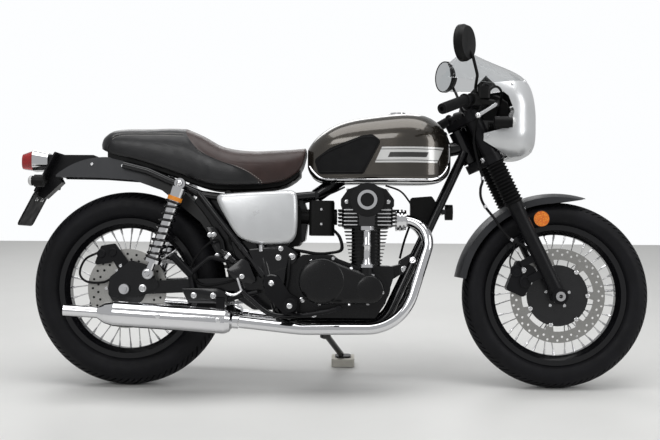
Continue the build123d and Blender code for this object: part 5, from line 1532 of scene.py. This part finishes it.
# Soft lights. Columns: name, place, aimed at, width, depth, watts
LIGHTS = (
    ("top_light", (0.0, -0.2, 3.4), (0.0, 0.0, 0.4), 4.2, 2.4, 92),
    ("camera_light", (-1.8, -3.6, 2.8), (0.0, 0.0, 0.5), 2.2, 1.4, 42),
    ("front_light", (3.0, -1.6, 1.8), (0.4, 0.0, 0.5), 1.2, 1.8, 26),
    ("back_light", (-0.6, 3.2, 2.6), (0.0, 0.0, 0.5), 3.0, 1.4, 40),
)
for name, place, aim, width, depth, watts in LIGHTS:
    lamp = bpy.data.lights.new(name, "AREA")
    lamp.shape = "RECTANGLE"
    lamp.size = width
    lamp.size_y = depth
    lamp.energy = watts
    light = bpy.data.objects.new(name, lamp)
    light.matrix_world = (Matrix.Translation(place)
                          @ (Vector(aim) - Vector(place)).to_track_quat("-Z", "Y").to_matrix().to_4x4())
    light.visible_camera = False
    bpy.context.scene.collection.objects.link(light)
# The surround is white to look at, bright in reflections and dim as a light
WORLD_LIGHT = 0.26
WORLD_GLOSS = 0.5
WORLD_SEEN = 1.0
world = bpy.data.worlds.new("studio")
world.use_nodes = True
nodes, links = world.node_tree.nodes, world.node_tree.links
surround = nodes["Background"]
surround.inputs["Color"].default_value = (0.98, 0.99, 1.0, 1)
ray_kind = nodes.new("ShaderNodeLightPath")
gloss, seen = nodes.new("ShaderNodeMix"), nodes.new("ShaderNodeMix")
gloss.inputs["A"].default_value = WORLD_LIGHT
gloss.inputs["B"].default_value = WORLD_GLOSS
seen.inputs["B"].default_value = WORLD_SEEN
links.new(ray_kind.outputs["Is Glossy Ray"], gloss.inputs["Factor"])
links.new(ray_kind.outputs["Is Camera Ray"], seen.inputs["Factor"])
links.new(gloss.outputs["Result"], seen.inputs["A"])
links.new(seen.outputs["Result"], surround.inputs["Strength"])
bpy.context.scene.world = world
bpy.context.scene.view_settings.view_transform = "Standard"

# Camera as fitted to the photograph
CAMERA_AT = (0.0435, -4.077, 1.098)
CAMERA_LENS = 66.0
CAMERA_YAW = radians(-1.19)
CAMERA_PITCH = radians(7.27)
CAMERA_ROLL = radians(0.21)
ahead = Vector((sin(CAMERA_YAW) * cos(CAMERA_PITCH), cos(CAMERA_YAW) * cos(CAMERA_PITCH),
                -sin(CAMERA_PITCH)))
right = Vector((cos(CAMERA_YAW), -sin(CAMERA_YAW), 0))
above = right.cross(ahead)
right, above = (right * cos(CAMERA_ROLL) + above * sin(CAMERA_ROLL),
                above * cos(CAMERA_ROLL) - right * sin(CAMERA_ROLL))
lens_data = bpy.data.cameras.new("camera")
lens_data.lens = CAMERA_LENS
lens_data.sensor_width = 36.0
camera = bpy.data.objects.new("camera", lens_data)
camera.matrix_world = Matrix.Translation(CAMERA_AT) @ Matrix((right, above, -ahead)).transposed().to_4x4()
bpy.context.scene.collection.objects.link(camera)
bpy.context.scene.camera = camera
